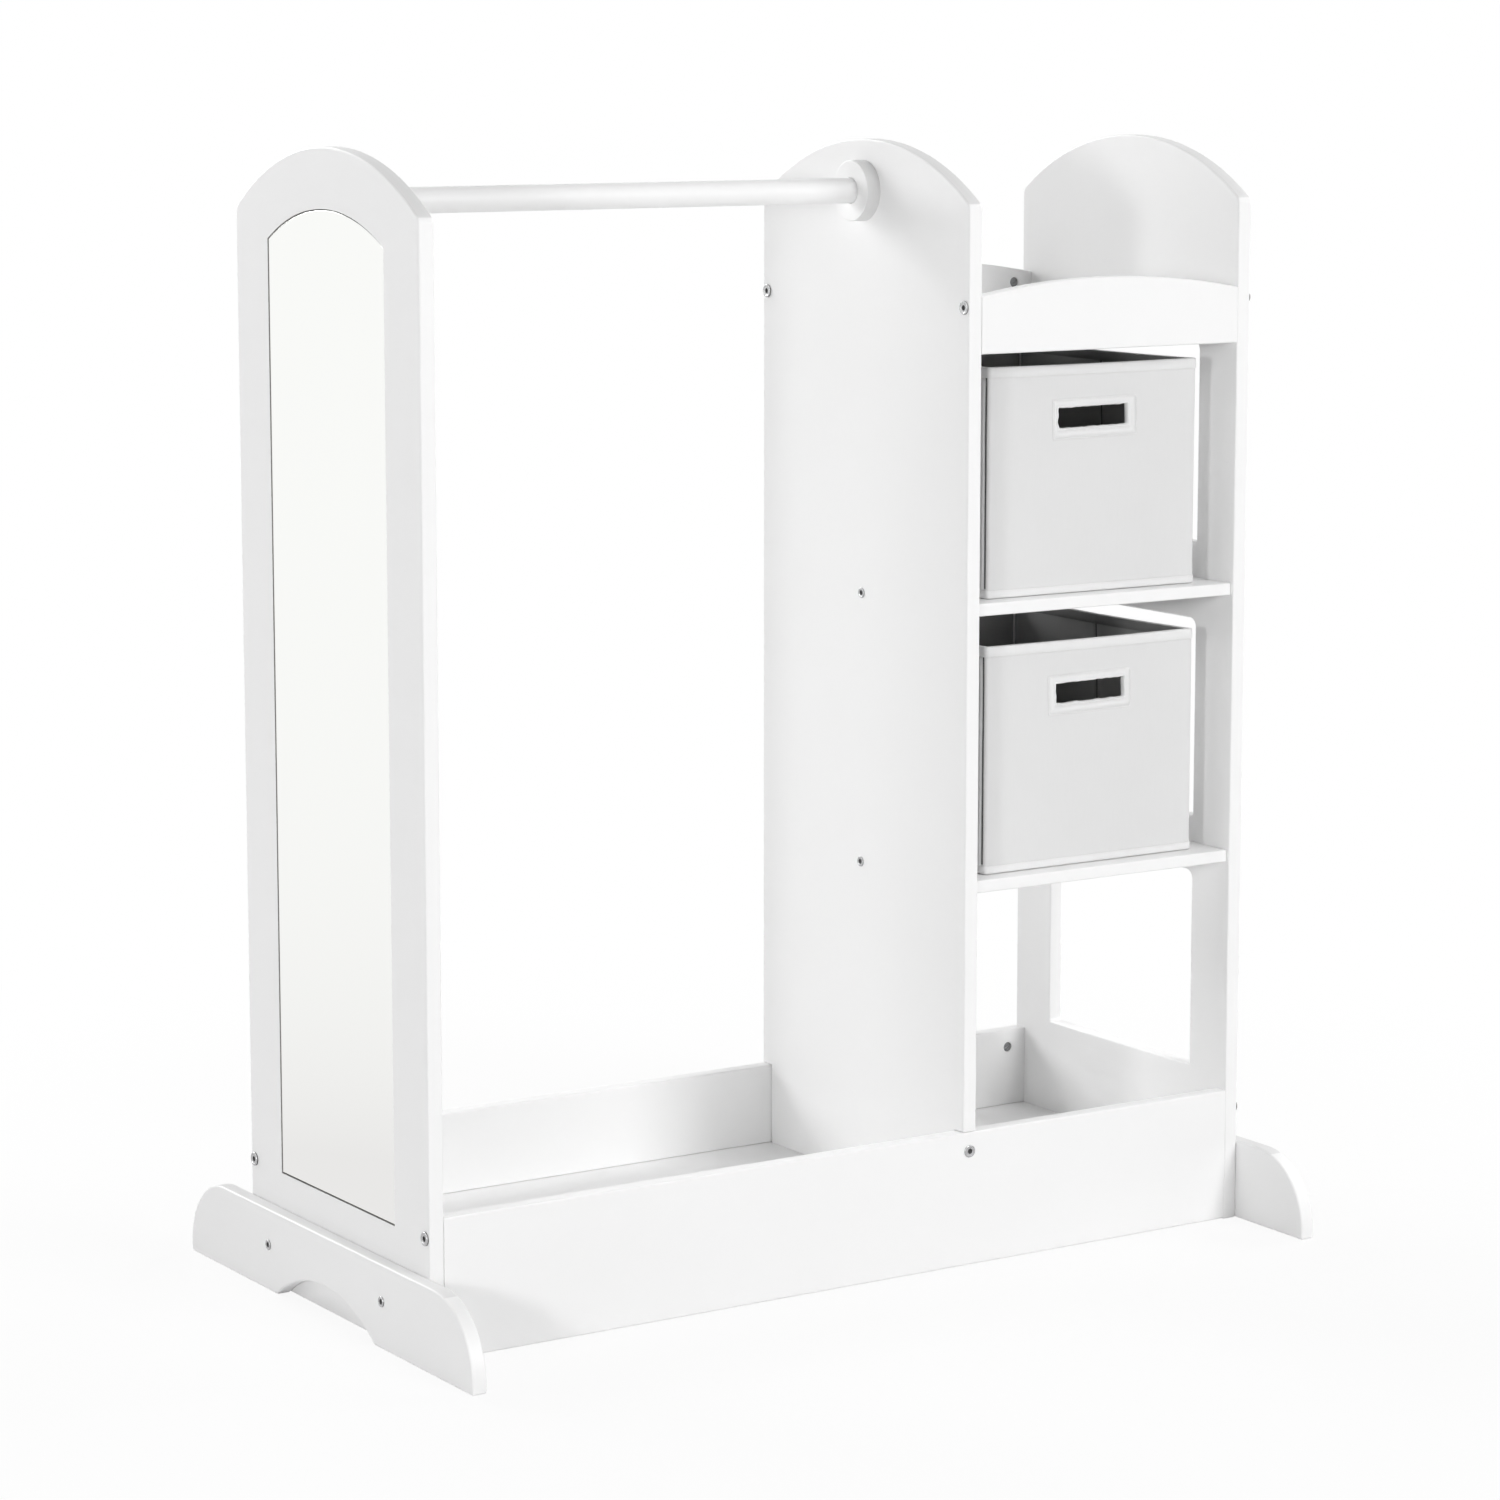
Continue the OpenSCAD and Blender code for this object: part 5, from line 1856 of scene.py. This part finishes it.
    def make_stitches(self) -> None:
        """Makes the rows of stitches round the handle, in the hem and in the band."""
        bench = Bench()
        half_w = self.handle_width / 2 + self.handle_side - self.stitch_in
        half_h = self.handle_height / 2 + self.handle_edge - self.stitch_in
        y = self.handle_groove - self.handle_thick
        for way in Way:
            self.stitch_line(bench, Vector((-half_w, y, way.value * half_h)), RIGHT, 2 * half_w)
            self.stitch_line(bench, Vector((way.value * half_w, y, -half_h)), UP, 2 * half_h)
        place = self.handle_place() @ Matrix.Translation(self.border_aside())
        bmesh.ops.transform(bench.mesh, matrix=place, verts=bench.mesh.verts[:])
        for height in (self.height - self.hem + self.seam_in, self.band - self.seam_in):
            self.stitch_wall(bench, height)
        self.finish("stitches", bench, (BIN_TAPE,))

    def stitch_wall(self, bench: Bench, height: float) -> None:
        """Sews a row of stitches round the outside, at a height."""
        half_x, half_y = self.width / 2 - self.corner, self.depth / 2 - self.corner
        out = self.corner + self.layer_gap + self.tape
        for way in Way:
            x, y = way.value * (half_x + out), way.value * (half_y + out)
            self.stitch_line(bench, Vector((-half_x, y, height)), RIGHT, 2 * half_x)
            self.stitch_line(bench, Vector((x, -half_y, height)), BACK, 2 * half_y)

    def stitch_line(self, bench: Bench, start: Vector, along: Vector, length: float) -> None:
        """Sews a straight row of stitches, each a small lozenge of thread."""
        count = int(length / self.stitch_step)
        margin = (length - (count - 1) * self.stitch_step) / 2
        shape = Matrix.Diagonal((self.stitch_radius, self.stitch_radius, self.stitch_length / 2, 1.0))
        for index in range(count):
            place = facing(start + along * (margin + index * self.stitch_step), along) @ shape
            bmesh.ops.create_icosphere(bench.mesh, subdivisions=1, radius=1.0, matrix=place)


# ---------------------------------------------------------------- studio


@dataclass(frozen=True)
class Lamp:
    """A lamp of the studio, placed by its direction and distance from the unit."""

    name: str
    around: float  # degrees from the front, towards the left
    above: float  # degrees above the floor
    power: float
    away: float = 4.5

    def towards(self) -> Vector:
        """Returns the direction from the unit to the lamp."""
        around, above = math.radians(self.around), math.radians(self.above)
        level = math.cos(above)
        return Vector((-math.sin(around) * level, -math.cos(around) * level, math.sin(above)))

    def data(self) -> bpy.types.Light:
        """Returns the lamp's own settings."""
        raise NotImplementedError

    def light(self, target: Vector) -> None:
        """Puts the lamp into the scene, turned to the target."""
        lamp = bpy.data.objects.new(self.name, self.data())
        lamp.location = target + self.towards() * self.away
        lamp.rotation_euler = (-self.towards()).to_track_quat("-Z", "Y").to_euler()
        bpy.context.scene.collection.objects.link(lamp)


@dataclass(frozen=True)
class Softbox(Lamp):
    """A square soft lamp, with its power in watts."""

    size: float = 2.0

    def data(self) -> bpy.types.Light:
        """Returns a square area light."""
        data = bpy.data.lights.new(self.name, "AREA")
        data.shape = "SQUARE"
        data.size = self.size
        data.energy = self.power
        return data


@dataclass(frozen=True)
class Skylight(Lamp):
    """A far lamp that lights everything evenly, with its power in watts a square metre."""

    spread: float = 30.0  # how wide it looks, in degrees
    away: float = 8.0  # well clear of the unit, which changes nothing in its light

    def data(self) -> bpy.types.Light:
        """Returns a sun light with soft shadows."""
        data = bpy.data.lights.new(self.name, "SUN")
        data.angle = math.radians(self.spread)
        data.energy = self.power
        return data


@dataclass
class Studio:
    """The plain white studio: floor, soft lamps, white surroundings and the camera."""

    floor_size: float = 60.0
    floor_tone: float = 0.80
    floor_show: float = 0.90  # share of plain white that the camera sees near the unit
    shade_ends: tuple[float, float] = (0.55, 1.5)  # distances over which the floor turns all white
    # the floor's glow in reflections darkens towards the unit over this reach, a painted shade
    mirrored_shade_reach: float = 0.9
    mirrored_shade_falloff: float = -1.54
    mirrored_shade_tone: Colour = (0.857, 0.845, 0.852)
    eye: Vector = field(default_factory=lambda: Vector((-2.2611, -3.5019, 1.1608)))
    yaw: float = math.radians(32.775)
    pitch: float = math.radians(8.213)
    lens: float = 105.9
    sensor: float = 36.0
    shift: float = -0.05
    sight: float = 100.0
    target: Vector = field(default_factory=lambda: Vector((0.0, 0.0, 0.5)))
    lamps: Sequence[Lamp] = (
        Softbox("front_softbox", -20.0, 15.0, 55.7, size=1.2),
        Softbox("right_softbox", -90.0, 30.0, 93.0),
        Softbox("back_softbox", 165.0, 25.0, 105.0),
        Softbox("high_back_softbox", 180.0, 40.0, 36.5),
        Softbox("left_key_light", 60.0, 8.0, 40.0, size=0.5),
        Softbox("left_back_softbox", 120.0, 15.0, 54.0, size=2.2, away=6.0),
        Skylight("high_front_light", -14.0, 40.0, 0.80, spread=20.0),
        Skylight("top_light", 0.0, 65.0, 0.34),
        Skylight("left_front_light", 50.0, 5.0, 0.435),
    )

    def build(self) -> None:
        """Sets the studio up."""
        bpy.context.scene.view_settings.view_transform = "Standard"
        self.camera()
        self.floor()
        self.world()
        for lamp in self.lamps:
            lamp.light(self.target)

    def camera(self) -> None:
        """Puts up the camera."""
        data = bpy.data.cameras.new("studio_camera")
        data.lens = self.lens
        data.sensor_width = self.sensor
        data.shift_y = self.shift
        data.clip_end = self.sight
        camera = bpy.data.objects.new("studio_camera", data)
        camera.location = self.eye
        camera.rotation_euler = (math.pi / 2 - self.pitch, 0.0, -self.yaw)
        bpy.context.scene.collection.objects.link(camera)
        bpy.context.scene.camera = camera

    def floor(self) -> None:
        """Lays the floor, which the camera sees as white with a faint shadow, and gloss sees as a glow with
        painted shade near the unit.
        """
        mesh = bmesh.new()
        bmesh.ops.create_grid(mesh, x_segments=1, y_segments=1, size=self.floor_size / 2)
        data = bpy.data.meshes.new("studio_floor")
        mesh.to_mesh(data)
        mesh.free()
        floor = bpy.data.objects.new("studio_floor", data)
        bpy.context.scene.collection.objects.link(floor)
        shader = Shader("studio_floor")
        shader.set(base_color=tone(self.floor_tone), roughness=0.9, specular_ior_level=0.0)
        seen, mirrored = shader.rays("Camera", "Glossy")
        away = shader.number("ShaderNodeVectorMath", {"operation": "LENGTH"}, {0: shader.place()}, "Value")
        # gloss sees a glowing floor, darker near the unit: a painted shade in its reflections
        far = 1 - (away / self.mirrored_shade_reach) ** self.mirrored_shade_falloff
        mirrored_shade = shader.blend(far, self.mirrored_shade_tone, tone(1.0))
        white, mirrored_shade_glow = (
            shader.node("ShaderNodeEmission", {}, {"Color": colour, "Strength": 1.0}).outputs[0]
            for colour in (tone(1.0), mirrored_shade)
        )
        plain = away.smooth(*self.shade_ends) * (1 - self.floor_show) + self.floor_show
        shown = shader.mix(seen * plain, shader.surface.outputs[0], white)
        shader.feed(shader.output.inputs["Surface"], shader.mix(mirrored, shown, mirrored_shade_glow))
        data.materials.append(shader.material)

    def world(self) -> None:
        """Surrounds the unit with white that only the camera and gloss see: the lamps give the light."""
        world = bpy.data.worlds.new("studio_world")
        world.use_nodes = True
        sky = Nodes(world.node_tree)
        seen, mirrored = sky.rays("Camera", "Glossy")
        values = {"Color": tone(1.0), "Strength": seen.math("MAXIMUM", seen, mirrored)}
        white = sky.node("ShaderNodeBackground", {}, values)
        sky.node("ShaderNodeOutputWorld", {}, {"Surface": white.outputs[0]})
        bpy.context.scene.world = world


def main() -> None:
    """Builds the unit in its studio."""
    logging.basicConfig(level=logging.INFO, format="%(name)s: %(message)s")
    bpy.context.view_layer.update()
    Studio().build()
    mirror = Mirror()
    mirror.build()
    Boards().build(mirror)
    HangingRod().build()
    Feet().build()
    Hardware().build()
    FabricBin(Body.UPPER_BIN, math.radians(-0.7), seed=3.0).build()
    FabricBin(
        Body.LOWER_BIN, math.radians(0.4), seed=11.0, aside=-0.0028, patch_aside=-0.0020, width=0.2497
    ).build()


if __name__ == "__main__":
    main()
